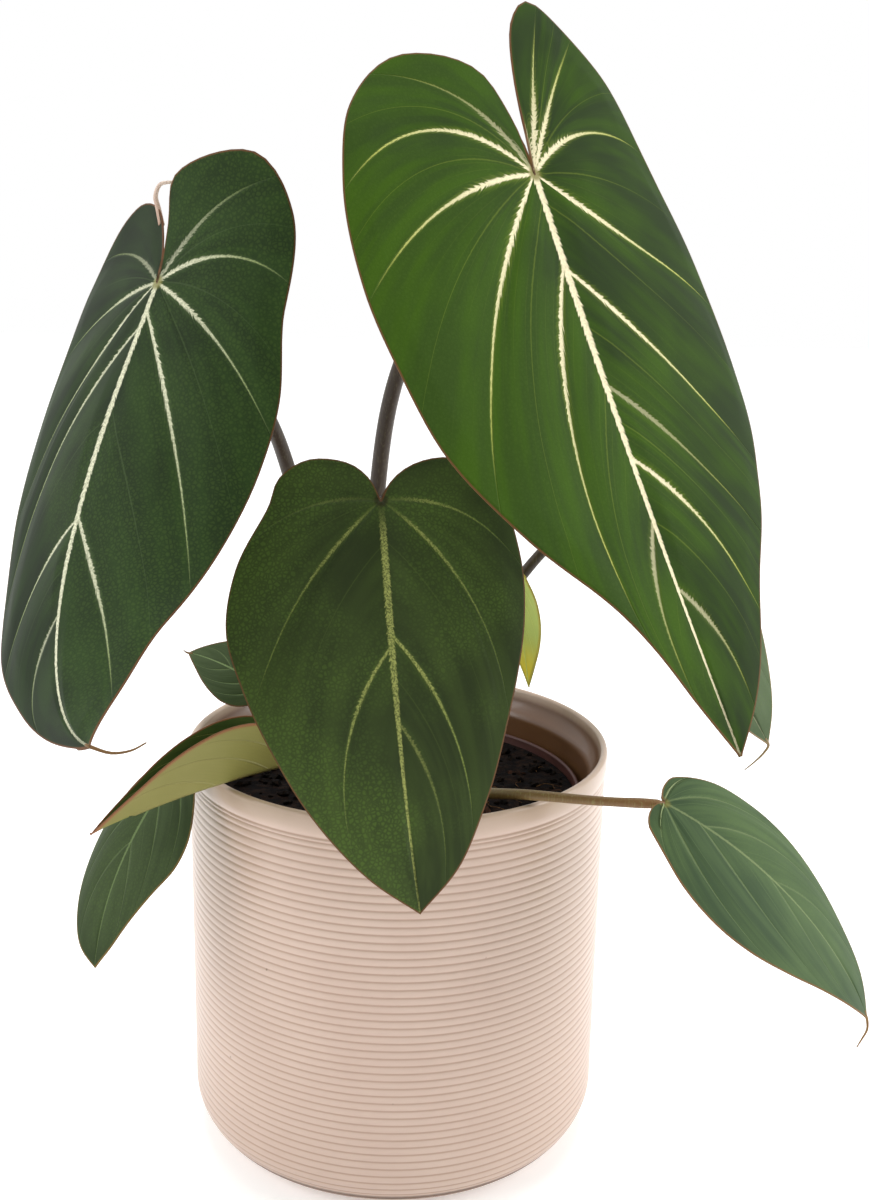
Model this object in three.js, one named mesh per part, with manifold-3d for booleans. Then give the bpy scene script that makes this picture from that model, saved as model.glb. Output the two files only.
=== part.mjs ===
// A velvet-leaved philodendron in a nursery pot, standing in a ribbed ceramic cover pot.
// Millimetres, +Z up, origin at the centre of the cover pot's foot on the table.

import * as THREE from 'three';
import { mergeVertices } from 'three/addons/utils/BufferGeometryUtils.js';
import Module from 'manifold-3d';

// ---------- driving dimensions ----------

const POT_HEIGHT = 137;
const POT_RADIUS = 70; // outside of the ribbed wall
const POT_WALL = 6;
const POT_FLOOR = 6;
const FOOT_ROUND = 15; // radius of the rounded bottom edge
const BAND_HEIGHT = 7; // smooth glazed band under the rim
const LIP = 2.3; // thickness of the rim's thin upper edge
const LATHE_STEPS = 48;

const NURSERY_HEIGHT = 115;
const NURSERY_RIM_RADIUS = 62;
const NURSERY_BASE_RADIUS = 46;
const NURSERY_WALL = 1.4;
const NURSERY_RIM_DROP = 8; // depth of the turned-over rim
const DRAIN_HOLES = 6;
const DRAIN_RADIUS = 4;
const DRAIN_CIRCLE = 30;

const SOIL_LEVEL = 119.5; // top of the soil at the middle
const SOIL_EDGE_DROP = 2;
const CLEARANCE = 0.4; // gap between pieces that touch

const CROWN_RADIUS = 9;
const CROWN_HEIGHT = 12;

const BLADE_THICKNESS = 1.2;
const OUTLINE_STEPS = 2; // stations between two points of a blade's outline
const BLADE_RINGS = 5; // rows between the midrib and the margin
const STALK_SIDES = 8;
const STALK_STEP = 12;
const STALK_SETBACK = 2.6; // gap left for the joint where a stalk meets a blade end on

// ---------- the leaves ----------
// joint: where stalk and blade meet. heading, pitch, roll: how the blade hangs there, in degrees;
// heading 0 points along +X, pitch is down from level. droop, sweep: how far the midrib has turned
// down and sideways at the tip. lobeDroop: the same for the lobes behind the joint.
// Each half has its fold up from the midrib, the curl from midrib to margin, the length of its
// lobe, the lobe's crest and gap from the centre line, and its widths at WIDTH_SHARES of the length.

const WIDTH_SHARES = [0, 0.15, 0.3, 0.45, 0.6, 0.75, 0.9];

// A small blade's widths follow one shape, given as shares of its half width.
const SMALL_SHAPE = [0.62, 0.93, 1, 0.9, 0.7, 0.43, 0.17];

function smallHalf(width, fold, curl) {
  const widths = SMALL_SHAPE.map((share) => share * width);
  return { fold, curl, lobe: 0.25 * width, crest: 0.35 * width, gap: 2.4, widths };
}

const LEAVES = [
  {
    name: 'right_large', joint: [35, -50, 320], heading: -50, pitch: 62, roll: 4,
    length: 167, droop: -4, sweep: 0, lobeDroop: -4,
    left: { fold: 4, curl: -17, lobe: 35, crest: 34, gap: 4, widths: [61, 64, 62, 56, 42, 21, 8] },
    right: { fold: 5, curl: -25, lobe: 55, crest: 21, gap: 9, widths: [52, 59, 62, 59, 47, 31, 16] },
    stalk: [[-5, 13, 120.2], [-9, 7, 175], [-8, 6, 222], [-2, -8, 260], [14, -27, 296]],
    stalkRadius: [3, 2.2],
  },
  {
    name: 'left_large', joint: [-69, -50, 289], heading: -135, pitch: 63, roll: 14,
    length: 159, droop: -1, sweep: 94, lobeDroop: 36,
    left: { fold: 4, curl: -8, lobe: 24, crest: 20, gap: 5, widths: [50, 53, 50, 42, 32, 17, 5] },
    right: { fold: -19, curl: -38, lobe: 33, crest: 28, gap: -3, widths: [42, 49, 50, 47, 41, 31, 17] },
    stalk: [[-13, 0, 120.3], [-24, -4, 180], [-36, -10, 230], [-41, -22, 248], [-52, -38, 272]],
    stalkRadius: [2.8, 1.8],
  },
  {
    name: 'front_centre', joint: [-6, -58, 230], heading: -80, pitch: 60, roll: 5,
    length: 116, droop: 11, sweep: 5, lobeDroop: 16,
    left: { fold: 4, curl: -17, lobe: 13, crest: 20, gap: 6, widths: [32, 42, 46, 42, 35, 26, 13] },
    right: { fold: 3, curl: -27, lobe: 12, crest: 21, gap: 8, widths: [37, 41, 40, 36, 30, 23, 13] },
    stalk: [[1, -13, 120.3], [-2, -22, 165], [-6, -40, 210], [-7, -50, 224]],
    stalkRadius: [2.6, 1.8],
  },
  {
    name: 'right_small', joint: [80, -60, 139.5], heading: -16, pitch: 23, roll: 14,
    length: 95, droop: 45, sweep: -4, lobeDroop: 15,
    left: { fold: 5, curl: -27, lobe: 3, crest: 8, gap: 3, widths: [15, 26, 30, 29, 24, 16, 7] },
    right: { fold: 5, curl: -23, lobe: 2, crest: 7, gap: 3, widths: [14, 26, 29, 27, 22, 15, 8] },
    stalk: [[10, -9, 121.6], [13, -17, 127], [26, -43, 135], [40, -56, 139.8], [60, -60, 139.8]],
    stalkRadius: [2, 1.3], stalkMeetsEnd: true,
  },
  {
    name: 'left_small', joint: [-70, -33, 138], heading: -133, pitch: 40, roll: 1,
    length: 66, droop: 27, sweep: 19, lobeDroop: 15,
    left: { fold: 4, curl: -34, lobe: 4, crest: 6, gap: 2.4, widths: [10, 17, 20, 20, 18, 14, 8] },
    right: { fold: 8, curl: -25, lobe: 4, crest: 6, gap: 2.4, widths: [10, 17, 21, 21, 17, 12, 6] },
    stalk: [[-12, -7, 121], [-18, -9, 130], [-38, -15, 143], [-58, -25, 146]],
    stalkRadius: [1.8, 1.2], stalkMeetsEnd: true,
  },
  {
    name: 'left_folded', joint: [-33, -36, 141], heading: -153, pitch: 3, roll: 0,
    length: 66, droop: 14, sweep: 0, lobeDroop: 0,
    left: smallHalf(19, 74, 10),
    right: smallHalf(19, 74, 10),
    stalk: [[-6, -12, 121], [-10, -17, 130], [-20, -26, 138]],
    stalkRadius: [2, 1.4], stalkMeetsEnd: true,
  },
  {
    name: 'left_back', joint: [-46, 12, 150], heading: 176, pitch: -32, roll: -55,
    length: 35, droop: 60, sweep: 0, lobeDroop: 10,
    left: smallHalf(12, 6, -20),
    right: smallHalf(12, 6, -20),
    stalk: [[-12, 7, 121], [-16, 10, 128], [-30, 13, 138]],
    stalkRadius: [1.6, 1], stalkMeetsEnd: true,
  },
  {
    name: 'back_young', joint: [38, 10, 191], heading: 40, pitch: 74, roll: 0,
    length: 42, droop: 6, sweep: 0, lobeDroop: 20,
    left: smallHalf(11, 5, -20),
    right: smallHalf(11, 5, -20),
    stalk: [[9, 11, 120.3], [15, 11, 150], [31, 5, 181]],
    stalkRadius: [1.6, 1],
  },
  {
    name: 'right_back', joint: [74, 8, 215], heading: -3, pitch: 54, roll: 50,
    length: 100, droop: 8, sweep: 0, lobeDroop: 10,
    left: { fold: 6, curl: -15, lobe: 20, crest: 18, gap: 3, widths: [33, 27, 21, 17, 14, 10, 5] },
    right: { fold: 6, curl: -15, lobe: 20, crest: 18, gap: 3, widths: [30, 33, 32, 29, 25, 19, 10] },
    stalk: [[14, 4, 121.2], [24, 20, 150], [40, 32, 182], [60, 28, 206]],
    stalkRadius: [2.4, 1.6],
  },
];

// ---------- materials ----------

function finish(color, roughness) {
  return new THREE.MeshStandardMaterial({ color, roughness, metalness: 0 });
}

const glaze = finish('#dcc3b3', 0.35);
const nurseryPlastic = finish('#6b3a2e', 0.5);
const pottingSoil = finish('#1e1817', 0.95);
const stalkSkin = finish('#4a3a34', 0.6);
const velvetBlade = finish('#33492f', 0.7);
const youngBlade = finish('#8a8f4a', 0.6);

// ---------- turned pieces ----------

function arc(centreX, centreY, radius, from, to, steps) {
  const points = [];
  for (let i = 0; i <= steps; i += 1) {
    const angle = THREE.MathUtils.degToRad(from + ((to - from) * i) / steps);
    points.push([centreX + radius * Math.cos(angle), centreY + radius * Math.sin(angle)]);
  }
  return points;
}

function turned(profile) {
  const points = profile.map(([radius, height]) => new THREE.Vector2(radius, height));
  return new THREE.LatheGeometry(points, LATHE_STEPS).rotateX(Math.PI / 2);
}

// The ribs are finer than a millimetre and stay off this body; the band and the lip are here.
function coverPotGeometry() {
  const band = POT_RADIUS + 0.5;
  const inner = POT_RADIUS - POT_WALL;
  const bandFoot = POT_HEIGHT - BAND_HEIGHT;
  const shoulder = POT_HEIGHT - 9;
  return turned([
    [0, 0],
    ...arc(POT_RADIUS - FOOT_ROUND, FOOT_ROUND, FOOT_ROUND, -90, 0, 5),
    [POT_RADIUS, bandFoot - 0.5],
    [band, bandFoot],
    ...arc(band - LIP / 2, POT_HEIGHT - LIP / 2, LIP / 2, 0, 180, 4),
    [inner + 3.2, POT_HEIGHT - 5],
    [inner, shoulder],
    ...arc(inner - 10, POT_FLOOR + 10, 10, 0, -90, 3),
    [0, POT_FLOOR],
  ]);
}

function nurseryProfile() {
  const floor = POT_FLOOR + CLEARANCE;
  const top = floor + NURSERY_HEIGHT;
  const rimInner = NURSERY_RIM_RADIUS - NURSERY_WALL;
  const shoulder = top - NURSERY_RIM_DROP;
  return { floor, top, rimInner, shoulder, shoulderRadius: rimInner - 2 };
}

function nurseryPotGeometry() {
  const { floor, top, rimInner, shoulder, shoulderRadius } = nurseryProfile();
  return turned([
    [0, floor],
    [NURSERY_BASE_RADIUS, floor],
    [shoulderRadius, shoulder],
    [NURSERY_RIM_RADIUS, shoulder],
    [NURSERY_RIM_RADIUS, top],
    [rimInner, top],
    [rimInner, shoulder + NURSERY_WALL],
    [shoulderRadius - NURSERY_WALL, shoulder + NURSERY_WALL],
    [NURSERY_BASE_RADIUS - NURSERY_WALL, floor + NURSERY_WALL],
    [0, floor + NURSERY_WALL],
  ]);
}

function soilGeometry() {
  const { floor, shoulder, shoulderRadius } = nurseryProfile();
  const bottom = floor + NURSERY_WALL + CLEARANCE;
  const baseRadius = NURSERY_BASE_RADIUS - NURSERY_WALL - CLEARANCE;
  const wallRadius = shoulderRadius - NURSERY_WALL - 2 * CLEARANCE;
  const rimRadius = NURSERY_RIM_RADIUS - NURSERY_WALL - CLEARANCE;
  const ledge = shoulder + NURSERY_WALL + CLEARANCE;
  return turned([
    [0, bottom],
    [baseRadius, bottom],
    [wallRadius, shoulder],
    [wallRadius, ledge],
    [rimRadius, ledge],
    [rimRadius, SOIL_LEVEL - SOIL_EDGE_DROP],
    [0.55 * rimRadius, SOIL_LEVEL],
    [0, SOIL_LEVEL],
  ]);
}

function crownGeometry() {
  const foot = SOIL_LEVEL + CLEARANCE;
  return turned([
    [0, foot],
    [CROWN_RADIUS, foot],
    [CROWN_RADIUS, foot + 0.45 * CROWN_HEIGHT],
    [0.75 * CROWN_RADIUS, foot + 0.85 * CROWN_HEIGHT],
    [0.3 * CROWN_RADIUS, foot + CROWN_HEIGHT],
    [0, foot + CROWN_HEIGHT],
  ]);
}

// ---------- cutting ----------

const wasm = await Module();
wasm.setup();

function toSolid(geometry) {
  const plain = geometry.clone();
  plain.deleteAttribute('normal');
  plain.deleteAttribute('uv');
  const merged = mergeVertices(plain, 1e-4);
  const triangles = [];
  const index = merged.index.array;
  for (let i = 0; i < index.length; i += 3) {
    const [a, b, c] = [index[i], index[i + 1], index[i + 2]];
    if (a !== b && b !== c && c !== a) triangles.push(a, b, c);
  }
  const vertProperties = new Float32Array(merged.attributes.position.array);
  return new wasm.Manifold(new wasm.Mesh({ numProp: 3, vertProperties, triVerts: new Uint32Array(triangles) }));
}

function toGeometry(solid) {
  const mesh = solid.getMesh();
  const geometry = new THREE.BufferGeometry();
  geometry.setAttribute('position', new THREE.BufferAttribute(new Float32Array(mesh.vertProperties), 3));
  geometry.setIndex(new THREE.BufferAttribute(new Uint32Array(mesh.triVerts), 1));
  geometry.computeVertexNormals();
  return geometry;
}

function drilledNurseryPot() {
  let pot = toSolid(nurseryPotGeometry());
  for (let i = 0; i < DRAIN_HOLES; i += 1) {
    const angle = (2 * Math.PI * i) / DRAIN_HOLES;
    const drill = new THREE.CylinderGeometry(DRAIN_RADIUS, DRAIN_RADIUS, 10, 12).rotateX(Math.PI / 2);
    drill.translate(DRAIN_CIRCLE * Math.cos(angle), DRAIN_CIRCLE * Math.sin(angle), POT_FLOOR + 1);
    pot = pot.subtract(toSolid(drill));
  }
  return toGeometry(pot);
}

// ---------- blades ----------

const radians = THREE.MathUtils.degToRad;

// The blade's frame at its joint: x along the midrib, y to the right half, z out of the upper face.
function jointFrame({ joint, heading, pitch, roll }) {
  const [h, p, r] = [heading, pitch, roll].map(radians);
  const along = new THREE.Vector3(Math.cos(h) * Math.cos(p), Math.sin(h) * Math.cos(p), -Math.sin(p));
  const level = new THREE.Vector3(-Math.sin(h), Math.cos(h), 0);
  const up = new THREE.Vector3().crossVectors(along, level);
  const side = level.clone().multiplyScalar(Math.cos(r)).addScaledVector(up, Math.sin(r));
  const normal = new THREE.Vector3().crossVectors(along, side);
  return new THREE.Matrix4().makeBasis(along, side, normal).setPosition(...joint);
}

// Where the midrib is after x millimetres, and which way it, its side and its upper face point.
function midribAt(leaf, x) {
  const turn = (s) => {
    const ahead = s >= 0;
    const down = ahead ? (leaf.droop * s) / leaf.length : (-4 * leaf.lobeDroop * s) / leaf.length;
    const sideways = ahead ? leaf.sweep * (s / leaf.length) ** 2 : 0;
    return [radians(down), radians(sideways)];
  };
  const direction = (s) => {
    const [down, sideways] = turn(s);
    const level = Math.cos(down);
    return new THREE.Vector3(level * Math.cos(sideways), level * Math.sin(sideways), -Math.sin(down));
  };
  const steps = 16;
  const centre = new THREE.Vector3();
  for (let i = 0; i < steps; i += 1) centre.addScaledVector(direction((x * (i + 0.5)) / steps), x / steps);
  const [, sideways] = turn(x);
  const along = direction(x);
  const side = new THREE.Vector3(-Math.sin(sideways), Math.cos(sideways), 0);
  return { centre, side, normal: new THREE.Vector3().crossVectors(along, side) };
}

// One point of the bent blade, and the direction out of its upper face there.
function bladePoint(leaf, half, hand, halfWidth, x, y) {
  const { centre, side, normal } = midribAt(leaf, x);
  const fold = radians(half.fold);
  const bend = radians(half.curl) / halfWidth || 1e-6;
  const angle = fold + bend * y;
  const across = (Math.sin(angle) - Math.sin(fold)) / bend;
  const lift = (Math.cos(fold) - Math.cos(angle)) / bend;
  const point = centre.addScaledVector(side, hand * across).addScaledVector(normal, lift);
  const tilt = y > 0 ? angle : 0;
  const out = normal.clone().multiplyScalar(Math.cos(tilt)).addScaledVector(side, -hand * Math.sin(tilt));
  return { point, out };
}

// The margin of one half in the flat, from the notch round the lobe to the tip.
function halfOutline(leaf, half) {
  const { lobe, crest, gap, widths } = half;
  const flank = crest < widths[0] ? 0.55 * (crest + widths[0]) : 0.9 * widths[0];
  const corners = [
    [0, 0], [-0.5 * lobe, 0.45 * gap], [-0.88 * lobe, gap + 0.12 * crest], [-lobe, crest], [-0.62 * lobe, flank],
    ...WIDTH_SHARES.map((share, i) => [share * leaf.length, widths[i]]),
    [leaf.length, 0],
  ];
  const curve = new THREE.CatmullRomCurve3(corners.map(([x, y]) => new THREE.Vector3(x, y, 0)));
  const steps = OUTLINE_STEPS * (corners.length - 1);
  const lobeSteps = OUTLINE_STEPS * 5;
  return Array.from({ length: steps + 1 }, (_, i) => {
    const atTip = i === steps;
    const { x, y } = curve.getPoint(i / steps);
    const foot = i > lobeSteps ? leaf.length * ((i - lobeSteps) / (steps - lobeSteps)) ** 1.15 : 0;
    return { x: atTip ? leaf.length : x, y: atTip ? 0 : y, foot };
  });
}

// A closed sheet: rows run from the midrib to the margin of each half, above and below.
function bladeGeometry(leaf) {
  const frame = jointFrame(leaf);
  const halfWidth = (Math.max(...leaf.left.widths) + Math.max(...leaf.right.widths)) / 2;
  const positions = [];
  const corner = (half, hand, station, ring, under) => {
    const share = ring / BLADE_RINGS;
    const x = station.foot + share * (station.x - station.foot);
    const { point, out } = bladePoint(leaf, half, hand, halfWidth, x, share * station.y);
    if (under) point.addScaledVector(out, -BLADE_THICKNESS);
    return point.applyMatrix4(frame);
  };
  const quad = (a, b, c, d, flip) => {
    const order = flip ? [a, d, c, a, c, b] : [a, b, c, a, c, d];
    order.forEach((point) => positions.push(point.x, point.y, point.z));
  };
  for (const [half, hand] of [[leaf.left, -1], [leaf.right, 1]]) {
    const outline = halfOutline(leaf, half);
    for (let i = 0; i + 1 < outline.length; i += 1) {
      const [here, next] = [outline[i], outline[i + 1]];
      for (const under of [false, true]) {
        for (let ring = 0; ring < BLADE_RINGS; ring += 1) {
          quad(
            corner(half, hand, here, ring, under), corner(half, hand, here, ring + 1, under),
            corner(half, hand, next, ring + 1, under), corner(half, hand, next, ring, under),
            (hand > 0) !== under,
          );
        }
      }
      quad(
        corner(half, hand, here, BLADE_RINGS, false), corner(half, hand, here, BLADE_RINGS, true),
        corner(half, hand, next, BLADE_RINGS, true), corner(half, hand, next, BLADE_RINGS, false),
        hand > 0,
      );
    }
  }
  const loose = new THREE.BufferGeometry();
  loose.setAttribute('position', new THREE.Float32BufferAttribute(positions, 3));
  return toGeometry(toSolid(loose));
}

// ---------- stalks ----------

function stalkEnd(leaf) {
  const e = jointFrame(leaf).elements;
  const along = new THREE.Vector3(e[0], e[1], e[2]);
  const normal = new THREE.Vector3(e[8], e[9], e[10]);
  const end = new THREE.Vector3(...leaf.joint);
  if (leaf.stalkMeetsEnd) return end.addScaledVector(along, -STALK_SETBACK).addScaledVector(normal, -BLADE_THICKNESS / 2);
  return end.addScaledVector(normal, -BLADE_THICKNESS - 3 * CLEARANCE);
}

// A tapered round stalk along a smooth curve, closed at both ends.
function stalkGeometry(leaf) {
  const route = [...leaf.stalk.map((point) => new THREE.Vector3(...point)), stalkEnd(leaf)];
  const curve = new THREE.CatmullRomCurve3(route);
  const steps = Math.ceil(curve.getLength() / STALK_STEP);
  const { normals, binormals } = curve.computeFrenetFrames(steps, false);
  const [thick, thin] = leaf.stalkRadius;
  const rings = [];
  for (let i = 0; i <= steps; i += 1) {
    const centre = curve.getPointAt(i / steps);
    const radius = thick + ((thin - thick) * i) / steps;
    rings.push(Array.from({ length: STALK_SIDES }, (_, k) => {
      const angle = (2 * Math.PI * k) / STALK_SIDES;
      return centre.clone()
        .addScaledVector(normals[i], radius * Math.cos(angle))
        .addScaledVector(binormals[i], radius * Math.sin(angle));
    }));
  }
  const positions = [];
  const triangle = (...points) => points.forEach((point) => positions.push(point.x, point.y, point.z));
  const cap = (ring, centre, flip) => ring.forEach((point, k) => {
    const next = ring[(k + 1) % STALK_SIDES];
    if (flip) triangle(centre, next, point);
    else triangle(centre, point, next);
  });
  for (let i = 0; i < steps; i += 1) {
    for (let k = 0; k < STALK_SIDES; k += 1) {
      const after = (k + 1) % STALK_SIDES;
      triangle(rings[i][k], rings[i][after], rings[i + 1][after]);
      triangle(rings[i][k], rings[i + 1][after], rings[i + 1][k]);
    }
  }
  cap(rings[0], curve.getPointAt(0), true);
  cap(rings[steps], curve.getPointAt(1), false);
  const loose = new THREE.BufferGeometry();
  loose.setAttribute('position', new THREE.Float32BufferAttribute(positions, 3));
  return toGeometry(toSolid(loose));
}

// ---------- assembly ----------

const plant = new THREE.Group();

function add(name, geometry, material) {
  const mesh = new THREE.Mesh(geometry, material);
  mesh.name = name;
  plant.add(mesh);
}

add('cover_pot', coverPotGeometry(), glaze);
add('nursery_pot', drilledNurseryPot(), nurseryPlastic);
add('soil', soilGeometry(), pottingSoil);
add('crown', crownGeometry(), stalkSkin);

const YOUNG = ['left_folded', 'back_young'];
for (const leaf of LEAVES) {
  add(`stalk_${leaf.name}`, stalkGeometry(leaf), stalkSkin);
  add(`blade_${leaf.name}`, bladeGeometry(leaf), YOUNG.includes(leaf.name) ? youngBlade : velvetBlade);
}

export default plant;
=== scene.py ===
# %% [markdown]
# # A velvet-leaved philodendron in a ribbed cover pot
# The plant grew in a plastic nursery pot, and the nursery pot stands loose inside a glazed
# stoneware cover pot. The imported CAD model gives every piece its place. This lesson gives each
# piece its real surface: ribs and glaze, crumbly soil, velvety blades with pale veins.

# %% Load the frame
import math
import random

import bpy
import numpy as np
from mathutils import Matrix, Vector, noise


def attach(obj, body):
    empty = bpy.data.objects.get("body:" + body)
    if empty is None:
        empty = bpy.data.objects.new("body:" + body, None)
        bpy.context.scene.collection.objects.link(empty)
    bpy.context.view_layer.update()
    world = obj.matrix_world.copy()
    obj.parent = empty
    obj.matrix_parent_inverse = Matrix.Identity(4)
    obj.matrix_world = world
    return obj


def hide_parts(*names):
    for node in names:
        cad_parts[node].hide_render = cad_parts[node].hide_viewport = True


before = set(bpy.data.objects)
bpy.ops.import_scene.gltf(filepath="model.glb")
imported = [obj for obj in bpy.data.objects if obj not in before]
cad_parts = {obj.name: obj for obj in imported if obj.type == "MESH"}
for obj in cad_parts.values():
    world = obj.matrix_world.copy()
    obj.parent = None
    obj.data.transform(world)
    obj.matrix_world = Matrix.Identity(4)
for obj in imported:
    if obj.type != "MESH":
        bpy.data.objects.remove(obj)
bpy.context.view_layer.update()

MM = 0.001
print("nodes:", len(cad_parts))

# %% [markdown]
# ## Camera, light and floor
# The plant is looked at from a little above the soil, tilted down about fifteen degrees. A white
# room of even light keeps velvet leaves readable, and broad soft lights at both sides brighten the
# pot's flanks.

# %% Place the camera
def camera_turn(pitch, yaw, roll):
    """The camera's rotation from its tilt down, its turn to the right and its roll, in degrees."""
    p, y, r = (math.radians(angle) for angle in (pitch, yaw, roll))
    ahead = Vector((math.sin(y) * math.cos(p), math.cos(y) * math.cos(p), -math.sin(p)))
    level = ahead.cross(Vector((0, 0, 1))).normalized()
    upright = level.cross(ahead)
    right = math.cos(r) * level + math.sin(r) * upright
    above = right.cross(ahead)
    return Matrix((right, above, -ahead)).transposed().to_euler()


CAMERA_PLACE = (0, -0.4676, 0.3117)
PITCH, YAW, ROLL = 15.13, 1.374, 1.198
FOCAL_LENGTH = 43.98

bpy.ops.object.select_all(action="DESELECT")
bpy.ops.object.camera_add(location=CAMERA_PLACE, rotation=camera_turn(PITCH, YAW, ROLL))
camera = bpy.context.object
camera.data.lens = FOCAL_LENGTH
camera.data.clip_start = 0.01
bpy.context.scene.camera = camera
print("camera at", tuple(round(v, 3) for v in camera.location))

# %% Light the room
def soft_light(name, place, aim, width, watts):
    """A square soft light that faces the point it is aimed at."""
    turn = (Vector(aim) - Vector(place)).to_track_quat("-Z", "Y").to_euler()
    bpy.ops.object.light_add(type="AREA", location=place, rotation=turn)
    light = bpy.context.object
    light.name = name
    light.data.shape = "SQUARE"
    light.data.size = width
    light.data.energy = watts


soft_light("light_left", (-1.1, -0.5, 0.9), (0, 0, 0.15), 0.9, 9)
soft_light("light_right", (1.2, -0.1, 0.6), (0, 0, 0.15), 0.9, 11)
soft_light("light_above", (0.0, 0.2, 1.5), (0, 0, 0.1), 0.8, 8)

bpy.context.scene.view_settings.view_transform = "Standard"

# %% [markdown]
# ## Colours and nodes
# Colours are written as they look on a screen. Blender mixes light in linear values, so one
# function turns them. Another adds a shader node, sets it and wires it in a single line.

# %% Colour and node helpers
def colour(code):
    """A colour such as '#dcc3b3' as linear red, green, blue and alpha."""
    parts = [int(code[i:i + 2], 16) / 255 for i in (1, 3, 5)]
    return tuple(p / 12.92 if p <= 0.04045 else ((p + 0.055) / 1.055) ** 2.4 for p in parts) + (1,)


def add_node(tree, kind, inputs=None, **settings):
    """Adds one node: settings are its own, inputs are values or other nodes' outputs."""
    node = tree.nodes.new("ShaderNode" + kind)
    for key, value in settings.items():
        setattr(node, key, value)
    for key, value in (inputs or {}).items():
        if isinstance(value, bpy.types.NodeSocket):
            tree.links.new(value, node.inputs[key])
        else:
            node.inputs[key].default_value = value
    return node.outputs


def new_material(name, **surface):
    """An empty material with its shader's constants set: returns it, its tree and its shader."""
    material = bpy.data.materials.new(name)
    material.use_nodes = True
    shader = material.node_tree.nodes["Principled BSDF"]
    for key, value in surface.items():
        shader.inputs[key.replace("_", " ")].default_value = value
    return material, material.node_tree, shader


# The numbers of a colour Mix node's sockets, and settings that many nodes share.
FACTOR, FIRST, SECOND, MIXED = 0, 6, 7, 2
LAYER = {"data_type": "RGBA"}
SMOOTH = {"interpolation_type": "SMOOTHSTEP"}
TIMES = {"operation": "MULTIPLY"}
TIMES_PLUS = {"operation": "MULTIPLY_ADD"}
FADE = {3: 1.0, 4: 0.0}


def wire_surface(tree, shader, ground, coats, rough, relief, strength, depth):
    """Lays coats of colour over a ground, each by the share that it covers, and wires colour,
    roughness and a bump into the shader; the bump's depth is in mm. Returns the colour."""
    tint = colour(ground)
    for share, coat in coats:
        coat = colour(coat) if isinstance(coat, str) else coat
        tint = add_node(tree, "Mix", {FACTOR: share, FIRST: tint, SECOND: coat}, **LAYER)[MIXED]
    skin = add_node(tree, "Bump", {"Height": relief, "Strength": strength,
                                   "Distance": depth * MM})[0]
    for value, socket in ((tint, "Base Color"), (rough, "Roughness"), (skin, "Normal")):
        tree.links.new(value, shader.inputs[socket])
    return tint


# %% White room
# The room is white all round, and dimmer on the side that the front of the pot faces.
room = bpy.data.worlds.new("white_room")
room.use_nodes = True
walls = room.node_tree
facing = add_node(walls, "SeparateXYZ", {0: add_node(walls, "TexCoord")["Generated"]})[1]
level = add_node(walls, "MapRange", {0: facing, 1: -0.7, 2: 0.25, 3: 0.5, 4: 1.0}, **SMOOTH)[0]
walls.links.new(level, walls.nodes["Background"].inputs["Strength"])
walls.nodes["Background"].inputs["Color"].default_value = (1, 1, 1, 1)
bpy.context.scene.world = room

# %% [markdown]
# ## Modelling helpers
# Two ways of modelling make nearly every piece. A turned piece is one point, extruded along a
# profile and spun once round, as a potter's wheel does it. A sheet or a tube is a flat grid whose
# rows and columns are laid on the curved form, so its pattern can follow the surface.

# %% Start, turn, and finish pieces
def start(name, primitive, **settings):
    """Adds a primitive with nothing else selected."""
    bpy.ops.object.select_all(action="DESELECT")
    primitive(**settings)
    piece = bpy.context.object
    piece.name = piece.data.name = name
    return piece


def weld(threshold=0.004 * MM):
    """Merges the doubles of the piece in hand."""
    bpy.ops.object.mode_set(mode="EDIT")
    bpy.ops.mesh.select_all(action="SELECT")
    bpy.ops.mesh.remove_doubles(threshold=threshold)
    bpy.ops.object.mode_set(mode="OBJECT")


def turned(name, profile, steps):
    """Extrudes a point along a profile of radius and height in mm, and spins it round the axis."""
    piece = start(name, bpy.ops.mesh.primitive_plane_add, size=MM)
    bpy.ops.object.mode_set(mode="EDIT")
    bpy.ops.mesh.select_mode(type="VERT")
    bpy.ops.mesh.merge(type="CENTER")
    bpy.ops.transform.translate(value=(profile[0][0] * MM, 0, profile[0][1] * MM))
    at = profile[0]
    for point in profile[1:]:
        step = ((point[0] - at[0]) * MM, 0, (point[1] - at[1]) * MM)
        bpy.ops.mesh.extrude_region_move(TRANSFORM_OT_translate={"value": step})
        at = point
    bpy.ops.mesh.select_all(action="SELECT")
    bpy.ops.mesh.spin(steps=steps, angle=2 * math.pi, center=(0, 0, 0), axis=(0, 0, 1))
    bpy.ops.mesh.select_all(action="SELECT")
    bpy.ops.mesh.remove_doubles(threshold=0.01 * MM)
    bpy.ops.mesh.normals_make_consistent(inside=False)
    bpy.ops.object.mode_set(mode="OBJECT")
    bpy.ops.object.shade_smooth_by_angle(angle=math.radians(50))
    return piece


def arc(centre_r, centre_z, radius, first, last, steps):
    """Points of a profile on an arc, from the first angle to the last, in degrees."""
    angles = np.radians(np.linspace(first, last, steps + 1))
    return [(centre_r + radius * math.cos(a), centre_z + radius * math.sin(a)) for a in angles]


def vertex_places(piece):
    """The places of a piece's vertices, one row each."""
    places = np.empty(3 * len(piece.data.vertices))
    piece.data.vertices.foreach_get("co", places)
    return places.reshape(-1, 3)


def laid_grid(name, columns, rows, place):
    """A flat grid of columns x rows vertices; place gives each vertex its point in mm."""
    piece = start(name, bpy.ops.mesh.primitive_grid_add,
                  x_subdivisions=columns - 1, y_subdivisions=rows - 1, size=2)
    flat = vertex_places(piece)
    column = np.rint((flat[:, 0] + 1) / 2 * (columns - 1)).astype(int)
    row = np.rint((flat[:, 1] + 1) / 2 * (rows - 1)).astype(int)
    piece.data.vertices.foreach_set("co", (place(column, row) * MM).ravel())
    return piece, column, row


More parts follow.
